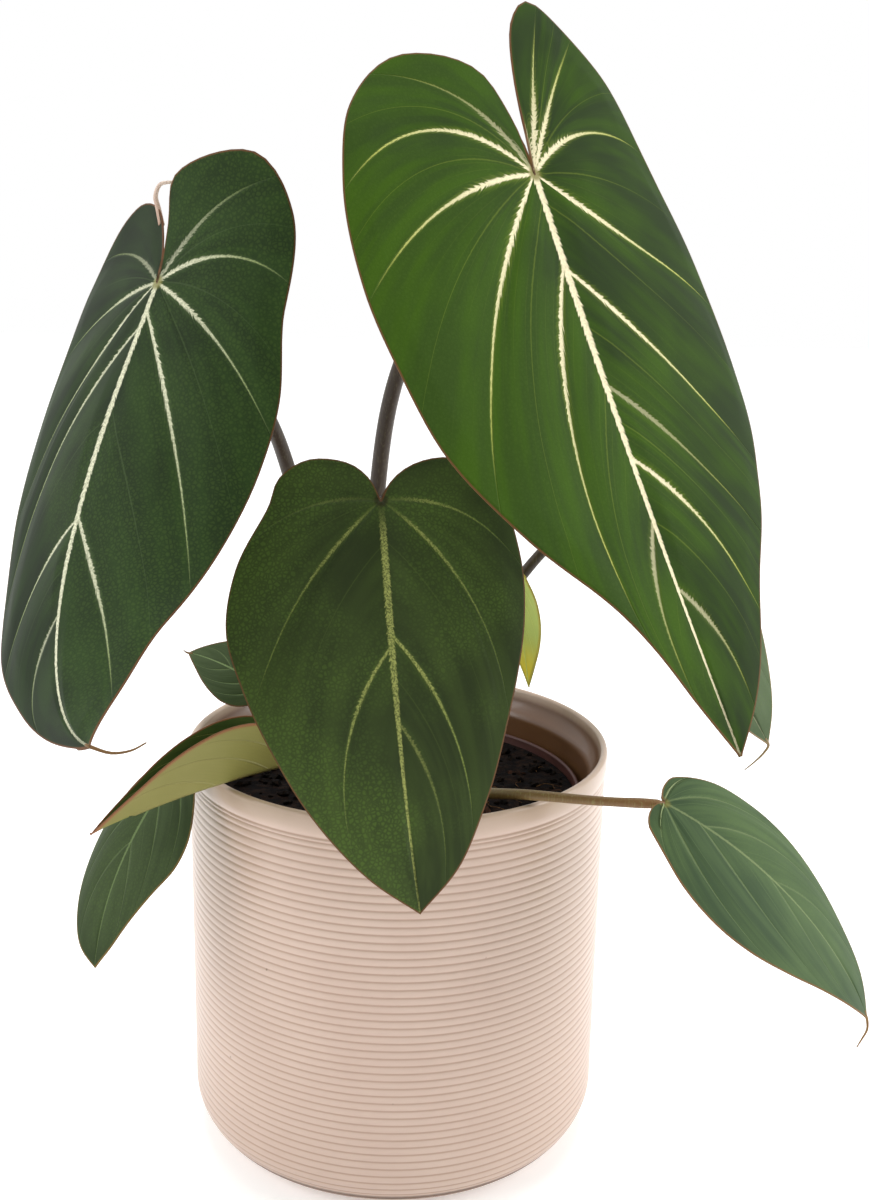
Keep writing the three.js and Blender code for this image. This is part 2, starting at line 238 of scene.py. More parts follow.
def joined(name, pieces):
    """Several pieces made one."""
    bpy.ops.object.select_all(action="DESELECT")
    for piece in pieces:
        piece.select_set(True)
    bpy.context.view_layer.objects.active = pieces[0]
    bpy.ops.object.join()
    pieces[0].name = pieces[0].data.name = name
    return pieces[0]


def give_attribute(piece, name, values):
    """Stores one number per vertex for the material to read."""
    attribute = piece.data.attributes.new(name, "FLOAT", "POINT")
    attribute.data.foreach_set("value", values.astype(np.float32))


def declare(piece, slot, *nodes):
    """The piece rides on the only body and stands for CAD nodes, which it hides; the slot is not
    used.
    """
    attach(piece, "root")
    if nodes:
        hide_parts(*nodes)
    print(piece.name, len(piece.data.polygons), "faces")


# %% [markdown]
# ## The cover pot
# Stoneware, thrown or jiggered on a wheel. A comb held to the spinning wall leaves fine ribs, and
# glaze runs off their crests and pools in the grooves, so the grooves are browner. The rim is a
# smooth band. A turned profile with every rib in it gives the real silhouette, which a bump map
# wouldn't.

# %% Profile of the ribbed wall
POT_RADIUS = 70.0
BAND_FOOT = 130.0
FOOT_ROUND = 15.0
FOOT_RIBS = 19.0
RIB_PITCH = 2.62
RIB_DEPTH = 0.26
GROOVE_WIDTH = 0.38
INNER_RADIUS = 64.0


def wall_point(run):
    """A point of the outer wall and its inward direction, by the distance run down from the band."""
    straight = BAND_FOOT - FOOT_ROUND
    if run <= straight:
        return POT_RADIUS, BAND_FOOT - run, -1.0, 0.0
    turn = (run - straight) / FOOT_ROUND
    r = POT_RADIUS - FOOT_ROUND + FOOT_ROUND * math.cos(turn)
    return r, FOOT_ROUND - FOOT_ROUND * math.sin(turn), -math.cos(turn), math.sin(turn)


# The first ribs below the band are closer; the last ones run on round the foot.
grooves = [0.8, 2.1, 4.0, 6.6, 9.4]
while grooves[-1] < BAND_FOOT - FOOT_ROUND + FOOT_RIBS:
    grooves.append(grooves[-1] + RIB_PITCH)
stops = sorted({round(g + d, 3) for g in grooves for d in (-0.75, -0.34, 0, 0.34, 0.75)} | {0.0})
stops = [s for s in stops if 0 <= s <= grooves[-1] + 0.8]

wall = []
for run in stops:
    r, z, inward_r, inward_z = wall_point(run)
    gap = min(abs(run - g) for g in grooves)
    depth = RIB_DEPTH * math.exp(-(gap / GROOVE_WIDTH) ** 2)
    wall.append((r + inward_r * depth, z + inward_z * depth))
print("grooves:", len(grooves), "stops:", len(stops))

# %% Spin the cover pot
pot_profile = (
    [(0, 1.6), (40, 1.6), (50.4, 1.6), (51.4, 1.2), (51.8, 0.4), (52.6, 0.02)]
    + wall[::-1]
    + [(70.2, 130.0), (70.45, 130.6), (70.5, 132.0), (70.5, 133.6), (70.4, 134.8)]
    + arc(69.3, 135.85, 1.15, 8, 172, 8)
    + [(67.9, 134.6), (67.35, 132.6), (66.6, 131.0), (65.3, 129.4), (64.3, 128.3), (64.0, 126.6)]
    + [(INNER_RADIUS, 90), (INNER_RADIUS, 50)]
    + arc(INNER_RADIUS - 10, 16, 10, 0, -90, 8)
    + [(30, 6), (0, 6)]
)
cover_pot = turned("cover_pot_ribbed", pot_profile, 144)

# How deep each point lies in a groove, as a share of the ribs' depth, for the glaze to pool in.
spots = vertex_places(cover_pot) / MM
radius, height = np.hypot(spots[:, 0], spots[:, 1]), spots[:, 2]
turn = np.arcsin(np.clip((FOOT_ROUND - height) / FOOT_ROUND, 0, 1))
smooth_wall = POT_RADIUS - FOOT_ROUND + FOOT_ROUND * np.cos(turn)
sunk = np.clip((smooth_wall - radius) / RIB_DEPTH, 0, 1)
under_foot = radius < 50
within = (radius < INNER_RADIUS + 2) & (height > FOOT_ROUND + 1)
sunk[(height > BAND_FOOT) | under_foot | within] = 0
give_attribute(cover_pot, "pooling", sunk)

# %% [markdown]
# The glaze is a pinkish beige with a satin gloss. Glaze is glass, so its IOR is 1.5; it is tinted
# unevenly over a few centimetres and carries small iron specks. Inside the pot the colour is darker.

# %% Glaze
def glazed_stoneware():
    """Satin glaze over a brown body."""
    material, tree, shader = new_material(
        "glazed_stoneware", IOR=1.5, Coat_Weight=0.2, Coat_Roughness=0.1)
    place = add_node(tree, "TexCoord")["Object"]
    x, y, height = add_node(tree, "SeparateXYZ", {0: place})
    flat = add_node(tree, "CombineXYZ", {0: x, 1: y})[0]
    out = add_node(tree, "VectorMath", {0: flat}, operation="LENGTH")["Value"]
    pooling = add_node(tree, "Attribute", attribute_name="pooling")["Fac"]
    # Clouds of about 25 mm in the glaze's thickness.
    cloud = add_node(tree, "TexNoise", {"Vector": place, "Scale": 40.0, "Detail": 3.0})[0]
    groove = add_node(tree, "MapRange", {0: pooling, 1: 0.15, 2: 0.95}, **SMOOTH)[0]
    # Iron specks under a millimetre wide, a few to every ten square centimetres.
    speck = add_node(tree, "TexVoronoi", {"Vector": place, "Scale": 130.0})["Distance"]
    chance = add_node(tree, "TexNoise", {"Vector": place, "Scale": 90.0})[0]
    near = add_node(tree, "MapRange", {0: speck, 1: 0.035, 2: 0.06, **FADE})[0]
    rare = add_node(tree, "MapRange", {0: chance, 1: 0.58, 2: 0.62})[0]
    iron = add_node(tree, "Math", {0: near, 1: rare}, **TIMES)[0]
    # Glaze runs thin over the rim, where the brown body shows through in patches.
    worn = add_node(tree, "MapRange", {0: height, 1: 0.1302, 2: 0.1352})[0]
    worn = add_node(tree, "Math", {0: worn, 1: cloud}, **TIMES)[0]
    # Inside, below the rim, the colour is a darker taupe.
    within = add_node(tree, "MapRange", {0: out, 1: 0.0675, 2: 0.0681, **FADE}, **SMOOTH)[0]
    raised = add_node(tree, "MapRange", {0: height, 1: 0.004, 2: 0.0055}, **SMOOTH)[0]
    inside = add_node(tree, "Math", {0: within, 1: raised}, **TIMES)[0]
    rough = add_node(tree, "MapRange", {0: cloud, 1: 0.3, 2: 0.7, 3: 0.3, 4: 0.4})[0]
    # Orange-peel skin of the glaze, about 1.5 mm across.
    peel = add_node(tree, "TexNoise", {"Vector": place, "Scale": 700.0})[0]
    coats = ((cloud, "#c7b0a1"), (groove, "#a88c7a"), (iron, "#8a7160"), (worn, "#8f7a5e"),
             (inside, "#65452b"))
    wire_surface(tree, shader, "#baa091", coats, rough, peel, 0.06, 0.4)
    return material


cover_pot.data.materials.append(glazed_stoneware())
declare(cover_pot, "ribbed_glaze", "cover_pot")

# %% [markdown]
# ## The nursery pot
# A thin thermoformed or injection-moulded pot in terracotta brown polypropylene. Only its rim
# shows, just above the soil, but it is whole: tapered wall, stepped rim and drain holes.

# %% Turn the nursery pot and drill it
DRAIN_HOLES = 6
DRAIN_RING = 30.0
DRAIN_RADIUS = 4.0
nursery_profile = [
    (0, 7.8), (44.0, 7.8), (44.9, 8.6), (57.2, 114.2), (58.0, 114.8), (60.1, 114.8), (60.6, 115.4),
    (60.6, 120.6), (60.8, 121.2), (61.3, 121.4), (61.8, 121.2), (62.0, 120.6), (62.0, 114.0),
    (61.6, 113.4), (59.2, 113.4), (58.6, 112.8), (46.4, 7.4), (45.4, 6.4), (0, 6.4),
]
nursery_pot = turned("nursery_pot_moulded", nursery_profile, 96)
for k in range(DRAIN_HOLES):
    angle = 2 * math.pi * k / DRAIN_HOLES
    middle = (DRAIN_RING * MM * math.cos(angle), DRAIN_RING * MM * math.sin(angle), 7 * MM)
    drill = start("drill", bpy.ops.mesh.primitive_cylinder_add, vertices=24,
                  radius=DRAIN_RADIUS * MM, depth=10 * MM, location=middle)
    bpy.context.view_layer.objects.active = nursery_pot
    cut = nursery_pot.modifiers.new("drain_hole", "BOOLEAN")
    cut.operation, cut.object, cut.solver = "DIFFERENCE", drill, "EXACT"
    bpy.ops.object.modifier_apply(modifier=cut.name)
    bpy.data.objects.remove(drill)


# %% Terracotta-coloured polypropylene
def terracotta_polypropylene():
    """Moulded plastic: an even colour, slightly satin, with fine scuffs round the wall."""
    material, tree, shader = new_material("terracotta_polypropylene", IOR=1.49)
    place = add_node(tree, "TexCoord")["Object"]
    # Scuffs about 17 mm long and 1 mm high.
    drawn = add_node(tree, "Mapping", {"Vector": place, "Scale": (60.0, 60.0, 900.0)})[0]
    scuff = add_node(tree, "TexNoise", {"Vector": drawn, "Scale": 1.0, "Detail": 4.0})[0]
    dusty = add_node(tree, "MapRange", {0: scuff, 1: 0.35, 2: 0.75})[0]
    rough = add_node(tree, "MapRange", {0: scuff, 3: 0.38, 4: 0.6})[0]
    wire_surface(tree, shader, "#3d1a13", ((dusty, "#4a231b"),), rough, scuff, 0.1, 0.2)
    return material


nursery_pot.data.materials.append(terracotta_polypropylene())
declare(nursery_pot, "nursery_plastic", "nursery_pot")

# %% [markdown]
# ## Potting soil
# Peat with bark and coconut fibre: a lumpy surface, loose crumbs on it, and a few pale fibres.
# The lumps are noise pushed into a turned disc. The crumbs are one small many-sided stone each,
# because there are hundreds of them.

# %% Soil body
SOIL_MIDDLE, SOIL_EDGE = 119.3, 118.4
SOIL_RADIUS = 60.2
STREWN_RADIUS = 58.0
FIBRE_RADIUS = 54.0
RINGS = 44


def soil_height(x, y):
    """The soil's surface in mm at a place in mm."""
    share = min(1.0, math.hypot(x, y) / SOIL_RADIUS)
    level = SOIL_MIDDLE + (SOIL_EDGE - SOIL_MIDDLE) * share ** 2
    lumps = noise.noise(Vector((x / 9, y / 9, 3.1))) * 1.1
    grit = noise.noise(Vector((x / 2.6, y / 2.6, 8.7))) * 0.55
    return level + (lumps + grit) * (1 - share ** 8)


soil_profile = [(0, 8.4), (43.8, 8.4), (45.6, 20), (56.3, 113.2), (56.6, 115.4), (59.6, 115.4),
                (SOIL_RADIUS, 115.8), (SOIL_RADIUS, SOIL_EDGE)]
soil_profile += [(SOIL_RADIUS * (1 - k / RINGS), SOIL_EDGE) for k in range(1, RINGS + 1)]
soil = turned("soil_surface", soil_profile, 132)
for vertex in soil.data.vertices:
    if vertex.co.z > (SOIL_EDGE - 1) * MM:
        vertex.co.z = soil_height(vertex.co.x / MM, vertex.co.y / MM) * MM


# %% Peat and bark
def peat_and_bark(name, dark, light, grain):
    """Damp peat: nearly black, rough all over, with browner crumbs; grain is in mm."""
    material, tree, shader = new_material(name, IOR=1.4, Specular_IOR_Level=0.12)
    place = add_node(tree, "TexCoord")["Object"]
    crumb = add_node(tree, "TexNoise", {"Vector": place, "Scale": 1000.0 / grain, "Detail": 8.0,
                                        "Roughness": 0.7})[0]
    cell = add_node(tree, "TexVoronoi", {"Vector": place, "Scale": 700.0 / grain})["Distance"]
    tone = add_node(tree, "MapRange", {0: crumb, 1: 0.42, 2: 0.72}, **SMOOTH)[0]
    rough = add_node(tree, "MapRange", {0: crumb, 3: 0.75, 4: 1.0})[0]
    height = add_node(tree, "Math", {0: crumb, 1: cell}, operation="SUBTRACT")[0]
    wire_surface(tree, shader, dark, ((tone, light),), rough, height, 0.8, 1.2)
    return material


soil.data.materials.append(peat_and_bark("damp_peat", "#060405", "#281a12", 2.5))
declare(soil, "potting_soil", "soil")


# %% Loose crumbs and bark chips
def crumb_layer(name, count, smallest, largest, flatness, seed):
    """Small broken stones strewn on the soil, joined into one piece; sizes in mm."""
    rng = random.Random(seed)
    crumbs = []
    for _ in range(count):
        away = STREWN_RADIUS * math.sqrt(rng.random())
        angle = rng.uniform(0, 2 * math.pi)
        x, y = away * math.cos(angle), away * math.sin(angle)
        size = smallest + (largest - smallest) * rng.random() ** 2
        z = soil_height(x, y) + 0.12 * size * flatness
        bpy.ops.mesh.primitive_ico_sphere_add(
            subdivisions=1, radius=0.5 * size * MM, location=(x * MM, y * MM, z * MM),
            rotation=(rng.uniform(-0.5, 0.5), rng.uniform(-0.5, 0.5), rng.uniform(0, 6.28)))
        crumb = bpy.context.object
        stretch = rng.uniform(0.9, 1.8)
        for vertex in crumb.data.vertices:
            jog = Vector([rng.uniform(-0.15, 0.15) * size * MM for _ in range(3)])
            vertex.co = Vector((vertex.co.x * stretch, vertex.co.y, vertex.co.z * flatness)) + jog
        crumbs.append(crumb)
    layer = joined(name, crumbs)
    bpy.ops.object.transform_apply(location=True, rotation=True, scale=True)
    return layer


crumbs = crumb_layer("soil_crumbs", 420, 1.2, 4.0, 0.7, 11)
crumbs.data.materials.append(peat_and_bark("peat_crumbs", "#080606", "#24180f", 1.5))
declare(crumbs, "potting_soil")
chips = crumb_layer("bark_chips", 60, 3.0, 8.0, 0.35, 12)
chips.data.materials.append(peat_and_bark("pine_bark", "#1a100b", "#4d2f20", 2.0))
declare(chips, "potting_soil")


# %% [markdown]
# ## Tubes
# Petioles, fibres and drip tips are all round tubes that taper along a smooth curve. Each is a
# grid rolled up: its columns run along the curve and its rows run round it. The frame is carried
# along the curve without twisting, so that the rolled surface stays even.

# %% Smooth curve and tube
def smooth_curve(points, steps):
    """A centripetal Catmull-Rom curve through the points, with so many steps to a span."""
    points = np.asarray(points, float)
    ends = np.vstack([2 * points[0] - points[1], points, 2 * points[-1] - points[-2]])
    curve = []
    for p0, p1, p2, p3 in zip(ends, ends[1:], ends[2:], ends[3:]):
        gaps = [math.sqrt(np.linalg.norm(b - a)) for a, b in ((p0, p1), (p1, p2), (p2, p3))]
        t0, t1, t2, t3 = np.cumsum([0] + gaps)
        t = np.linspace(t1, t2, steps, endpoint=False)[:, None]
        a1 = (t1 - t) / (t1 - t0) * p0 + (t - t0) / (t1 - t0) * p1
        a2 = (t2 - t) / (t2 - t1) * p1 + (t - t1) / (t2 - t1) * p2
        a3 = (t3 - t) / (t3 - t2) * p2 + (t - t2) / (t3 - t2) * p3
        b1 = (t2 - t) / (t2 - t0) * a1 + (t - t0) / (t2 - t0) * a2
        b2 = (t3 - t) / (t3 - t1) * a2 + (t - t1) / (t3 - t1) * a3
        curve.append((t2 - t) / (t2 - t1) * b1 + (t - t1) / (t2 - t1) * b2)
    return np.vstack(curve + [points[-1:]])


def tube(name, centres, radii, sides):
    """A round tube along the centres, in mm, whose ends are drawn in to a point."""
    centres = np.asarray(centres, float)
    ahead = np.gradient(centres, axis=0)
    ahead /= np.linalg.norm(ahead, axis=1)[:, None]
    across = np.cross(ahead[0], (0.3, 0.9, 0.1))
    outs, sides_out = [], []
    for direction in ahead:
        across = across - direction * across.dot(direction)
        across /= np.linalg.norm(across)
        outs.append(across)
        sides_out.append(np.cross(direction, across))
    outs, sides_out = np.array(outs), np.array(sides_out)
    shown = np.concatenate([[0], np.asarray(radii, float), [0]])
    at = np.concatenate([[0], np.arange(len(centres)), [len(centres) - 1]])

    def place(column, row):
        angle = 2 * math.pi * row / sides
        reach = shown[column][:, None]
        k = at[column]
        return centres[k] + reach * (np.cos(angle)[:, None] * outs[k]
                                     - np.sin(angle)[:, None] * sides_out[k])

    piece, column, row = laid_grid(name, len(shown), sides + 1, place)
    give_attribute(piece, "along", at[column] / (len(centres) - 1))
    weld()
    bpy.ops.object.shade_smooth()
    return piece


# %% Coconut fibres on the soil
FIBRES = 46
fibre_rng = random.Random(5)
fibres = []
for k in range(FIBRES):
    away = FIBRE_RADIUS * math.sqrt(fibre_rng.random())
    angle = fibre_rng.uniform(0, 2 * math.pi)
    heading = fibre_rng.uniform(0, 2 * math.pi)
    length = fibre_rng.uniform(5, 14)
    route = []
    for s in range(5):
        heading += fibre_rng.uniform(-0.5, 0.5)
        x = away * math.cos(angle) + (s - 2) * length / 4 * math.cos(heading)
        y = away * math.sin(angle) + (s - 2) * length / 4 * math.sin(heading)
        if math.hypot(x, y) < STREWN_RADIUS + 0.5:
            route.append((x, y, soil_height(x, y) + fibre_rng.uniform(0.3, 1.2)))
    if len(route) > 2:
        curve = smooth_curve(route, 2)
        thick = fibre_rng.uniform(0.12, 0.26)
        fibres.append(tube(f"fibre_{k}", curve, np.linspace(thick, 0.6 * thick, len(curve)), 5))
fibres = joined("coconut_fibres", fibres)
fibres.data.materials.append(peat_and_bark("coconut_fibre", "#47311f", "#8a6848", 1.0))
declare(fibres, "potting_soil")

# %% [markdown]
# ## The leaves
# Each blade grew as one sheet, so it is modelled as one: a heart-shaped outline, bent along its
# midrib and folded up or curled down on each side. The same few numbers shape the CAD blade. In
# the finer sheet the rows of the grid run along the veins, so that the material can draw a vein
# wherever a row number is whole, and the leaf can swell between veins.

# %% Leaf table
# Where the seven widths of a half blade are measured, as shares of its length.
WIDTH_SHARES = (0, 0.15, 0.3, 0.45, 0.6, 0.75, 0.9)
SMALL_SHAPE = (0.62, 0.93, 1, 0.9, 0.7, 0.43, 0.17)


def half(fold, curl, lobe, crest, gap, widths, veins):
    """One half blade: its veins, from notch to tip, are (foot on the midrib, end x, end y,
    strength, bow away from the tip as a share of the vein's length)."""
    return dict(fold=fold, curl=curl, lobe=lobe, crest=crest, gap=gap, widths=widths, veins=veins)


def small_half(width, length, fold, curl):
    """A small blade's half, its widths and veins scaled from one shape."""
    veins = [(f * length, x * length, y * width, s, 0.28) for f, x, y, s in (
        (0, 0.06, 0.85, 0.2), (0, 0.5, 0.9, 0.6), (0.12, 0.72, 0.6, 0.5), (0.38, 0.88, 0.25, 0.3))]
    return half(fold, curl, 0.25 * width, 0.35 * width, 2.4,
                [share * width for share in SMALL_SHAPE], veins)


LEAVES = {
    "right_large": dict(
        joint=(35, -50, 320), heading=-50, pitch=62, roll=4, length=167, droop=-4, sweep=0,
        lobe_droop=-4, fineness=(168, 56), rib=1.3, vein=0.8,
        left=half(4, -17, 35, 34, 4, (61, 64, 62, 56, 42, 21, 8), [
            (0, -30, 44, 0.3, 0.3), (0, 2, 61, 0.95, 0.46), (0, 31, 64, 1, 0.2),
            (0, 92, 47, 1, 0.15), (26, 133, 16, 0.9, 0.19), (101, 152, 8, 0.4, 0.2)]),
        right=half(5, -25, 55, 21, 9, (52, 59, 62, 59, 47, 31, 16), [
            (0, -54, 24, 0.8, 0.04), (0, -44, 34, 0.95, 0.06), (0, -9, 51, 1, 0.34),
            (0, 40, 61, 1, -0.06), (28, 90, 54, 1, 0.02), (62, 112, 42, 0.3, 0.08),
            (83, 132, 28, 0.95, 0.17), (120, 158, 12, 0.4, 0.2)]),
        stalk=((-5, 13, 120.2), (-9, 7, 175), (-8, 6, 222), (-2, -8, 260), (14, -27, 296)),
        stalk_radius=(3, 2.2)),
    "left_large": dict(
        joint=(-69, -50, 289), heading=-135, pitch=63, roll=14, length=159, droop=-1, sweep=94,
        lobe_droop=36, fineness=(160, 52), rib=1.2, vein=0.7,
        left=half(4, -8, 24, 20, 5, (50, 53, 50, 42, 32, 17, 5), [
            (0, -9, 46, 0.35, 0.22), (0, 22, 53, 0.85, 0.12), (0, 66, 44, 0.9, 0.14),
            (13, 88, 34, 0.8, 0.2), (71, 106, 26, 0.9, 0.22), (99, 130, 11, 0.5, 0.3)]),
        right=half(-19, -38, 33, 28, -3, (42, 49, 50, 47, 41, 31, 17), [
            (0, -26, 34, 0.4, 0.3), (0, -6, 41, 0.95, 0.3), (0, 36, 50, 0.9, 0.17),
            (8, 105, 38, 0.95, 0.19), (69, 150, 13, 0.85, 0.22)]),
        stalk=((-13, 0, 120.3), (-24, -4, 180), (-36, -10, 230), (-41, -22, 248), (-52, -38, 272)),
        stalk_radius=(2.8, 1.8)),
    "front_centre": dict(
        joint=(-6, -58, 230), heading=-80, pitch=60, roll=5, length=116, droop=11, sweep=5,
        lobe_droop=16, fineness=(132, 46), rib=1.1, vein=0.55,
        left=half(4, -17, 13, 20, 6, (32, 42, 46, 42, 35, 26, 13), [
            (0, 12, 40, 0.2, 0.25), (0, 58, 40, 0.7, 0.14), (42, 101, 14, 0.85, 0.24)]),
        right=half(3, -27, 12, 21, 8, (37, 41, 40, 36, 30, 23, 13), [
            (0, 20, 41, 0.55, 0.28), (0, 64, 32, 0.7, 0.22), (39, 97, 17, 0.95, 0.2),
            (63, 109, 7, 0.35, 0.2)]),
        stalk=((1, -13, 120.3), (-2, -22, 165), (-6, -40, 210), (-7, -50, 224)),
        stalk_radius=(2.6, 1.8)),
    "right_small": dict(
        joint=(80, -60, 139.5), heading=-16, pitch=23, roll=14, length=95, droop=45, sweep=-4,
        lobe_droop=15, fineness=(96, 34), rib=0.6, vein=0.38,
        left=half(5, -27, 3, 8, 3, (15, 26, 30, 29, 24, 16, 7), [
            (0, 14, 27, 0.2, 0.3), (0, 52, 27, 0.5, 0.3), (12, 74, 15, 0.5, 0.26),
            (38, 86, 7, 0.3, 0.2)]),
        right=half(5, -23, 2, 7, 3, (14, 26, 29, 27, 22, 15, 8), [
            (0, 14, 27, 0.2, 0.3), (0, 52, 25, 0.5, 0.3), (14, 74, 15, 0.5, 0.26),
            (40, 87, 8, 0.3, 0.2)]),
        stalk=((10, -9, 121.6), (13, -17, 127), (26, -43, 135), (40, -56, 139.8), (60, -60, 139.8)),
        stalk_radius=(2, 1.3), meets_end=True),
    "left_small": dict(
        joint=(-70, -33, 138), heading=-133, pitch=40, roll=1, length=66, droop=27, sweep=19,
        lobe_droop=15, fineness=(80, 30), rib=0.55, vein=0.34,
        left=half(4, -34, 4, 6, 2.4, (10, 17, 20, 20, 18, 14, 8), [
            (0, 8, 16, 0.2, 0.3), (0, 36, 19, 0.5, 0.3), (9, 51, 15, 0.45, 0.24),
            (26, 60, 8, 0.3, 0.2)]),
        right=half(8, -25, 4, 6, 2.4, (10, 17, 21, 21, 17, 12, 6), [
            (0, 8, 16, 0.2, 0.3), (0, 36, 18, 0.5, 0.3), (9, 50, 13, 0.45, 0.24),
            (26, 59, 7, 0.3, 0.2)]),
        stalk=((-12, -7, 121), (-18, -9, 130), (-38, -15, 143), (-58, -25, 146)),
        stalk_radius=(1.8, 1.2), meets_end=True),
    "left_folded": dict(
        joint=(-33, -36, 141), heading=-153, pitch=3, roll=0, length=66, droop=14, sweep=0,
        lobe_droop=0, fineness=(72, 26), rib=0.6, vein=0.3,
        left=small_half(19, 66, 74, 10), right=small_half(19, 66, 74, 10),
        stalk=((-6, -12, 121), (-10, -17, 130), (-20, -26, 138)), stalk_radius=(2, 1.4),
        meets_end=True),
    "left_back": dict(
        joint=(-46, 12, 150), heading=176, pitch=-32, roll=-55, length=35, droop=60, sweep=0,
        lobe_droop=10, fineness=(56, 20), rib=0.4, vein=0.28,
        left=small_half(12, 35, 6, -20), right=small_half(12, 35, 6, -20),
        stalk=((-12, 7, 121), (-16, 10, 128), (-30, 13, 138)), stalk_radius=(1.6, 1),
        meets_end=True),
    "back_young": dict(
        joint=(38, 10, 191), heading=40, pitch=74, roll=0, length=42, droop=6, sweep=0,
        lobe_droop=20, fineness=(56, 20), rib=0.4, vein=0.28,
        left=small_half(11, 42, 5, -20), right=small_half(11, 42, 5, -20),
        stalk=((9, 11, 120.3), (15, 11, 150), (31, 5, 181)), stalk_radius=(1.6, 1)),
    "right_back": dict(
        joint=(74, 8, 215), heading=-3, pitch=54, roll=50, length=100, droop=8, sweep=0,
        lobe_droop=10, fineness=(96, 32), rib=0.7, vein=0.45,
        left=half(6, -15, 20, 18, 3, (33, 27, 21, 17, 14, 10, 5), [
            (0, -12, 30, 0.6, 0.3), (0, 12, 28, 0.8, 0.25), (8, 55, 15, 0.8, 0.2),
            (40, 80, 8, 0.6, 0.2)]),
        right=half(6, -15, 20, 18, 3, (30, 33, 32, 29, 25, 19, 10), [
            (0, -12, 28, 0.6, 0.3), (0, 12, 32, 0.8, 0.25), (6, 58, 25, 0.8, 0.2),
            (38, 85, 12, 0.6, 0.2)]),
        stalk=((14, 4, 121.2), (24, 20, 150), (40, 32, 182), (60, 28, 206)),
        stalk_radius=(2.4, 1.6)),
}
print("leaves:", len(LEAVES))


# %% [markdown]
# ### From the flat blade to the bent one
# Everything on a blade is first worked out flat, in millimetres: x runs along the midrib from the
# joint to the tip, and y runs out to the margin. Then the midrib is bent, and each half is rolled
# up or down from it on an arc, which keeps every length on the blade true.

# %% Bend a flat blade
def mean_width(leaf):
    """The mean of the two halves' greatest widths, which sets how tightly they roll."""
    return sum(max(leaf[key]["widths"]) for key in ("left", "right")) / 2


def joint_frame(leaf):
    """The joint's place, and its directions along the midrib, to the right half, and upwards."""
    h, p, r = (math.radians(leaf[key]) for key in ("heading", "pitch", "roll"))
    along = np.array((math.cos(h) * math.cos(p), math.sin(h) * math.cos(p), -math.sin(p)))
    level = np.array((-math.sin(h), math.cos(h), 0))
    side = math.cos(r) * level + math.sin(r) * np.cross(along, level)
    return np.array(leaf["joint"], float), along, side, np.cross(along, side)


def midrib_at(leaf, x):
    """Places on the bent midrib, and its side and upper directions there, in the joint's frame."""
    length = leaf["length"]
    steps = np.linspace(-0.5 * length, length, 361)
    down = np.where(steps >= 0, leaf["droop"] * steps / length,
                    -4 * leaf["lobe_droop"] * steps / length)
    sideways = np.where(steps >= 0, leaf["sweep"] * (steps / length) ** 2, 0)
    down, sideways = np.radians(down), np.radians(sideways)
    along = np.stack([np.cos(down) * np.cos(sideways), np.cos(down) * np.sin(sideways),
                      -np.sin(down)], 1)
    middle = (along[1:] + along[:-1]) / 2 * np.diff(steps)[:, None]
    track = np.vstack([np.zeros(3), np.cumsum(middle, 0)])
    here = [np.interp(x, steps, track[:, k] - np.interp(0, steps, track[:, k])) for k in range(3)]
    ways = np.stack([np.interp(x, steps, along[:, k]) for k in range(3)], -1)
    swing = np.radians(np.where(x >= 0, leaf["sweep"] * (x / length) ** 2, 0))
    side = np.stack([-np.sin(swing), np.cos(swing), 0 * swing], -1)
    return np.stack(here, -1), side, np.cross(ways, side)


def bent(leaf, part, hand, x, y, lift):
    """Points of the bent blade in mm for flat places x, y, raised off the sheet by lift."""
    centre, side, up = midrib_at(leaf, x)
    fold = math.radians(part["fold"])
    bend = math.radians(part["curl"]) / mean_width(leaf)
    angle = fold + bend * y
    across = (np.sin(angle) - math.sin(fold)) / bend
    rise = (math.cos(fold) - np.cos(angle)) / bend
    tilt = np.where(y > 0, angle, 0)
    out = up * np.cos(tilt)[..., None] - hand * side * np.sin(tilt)[..., None]
    local = (centre + hand * across[..., None] * side + rise[..., None] * up
             + out * np.asarray(lift)[..., None])
    place, along, right, normal = joint_frame(leaf)
    return place + local @ np.stack([along, right, normal])


# %% Draw the margin and lay rows along the veins
FAN_REACH = 3
FAN_SHARE = 0.42
FOOT_EASE = 1.15


def margin(leaf, part):
    """The flat margin of one half from the notch round the lobe to the tip, and its run length."""
    lobe, crest, gap, widths = (part[key] for key in ("lobe", "crest", "gap", "widths"))
    flank = 0.55 * (crest + widths[0]) if crest < widths[0] else 0.9 * widths[0]
    corners = [(0, 0), (-0.5 * lobe, 0.45 * gap), (-0.88 * lobe, gap + 0.12 * crest),
               (-lobe, crest), (-0.62 * lobe, flank)]
    corners += [(share * leaf["length"], width) for share, width in zip(WIDTH_SHARES, widths)]
    line = smooth_curve(corners + [(leaf["length"], 0)], 24)
    run = np.concatenate([[0], np.cumsum(np.linalg.norm(np.diff(line, axis=0), axis=1))])
    return line, run


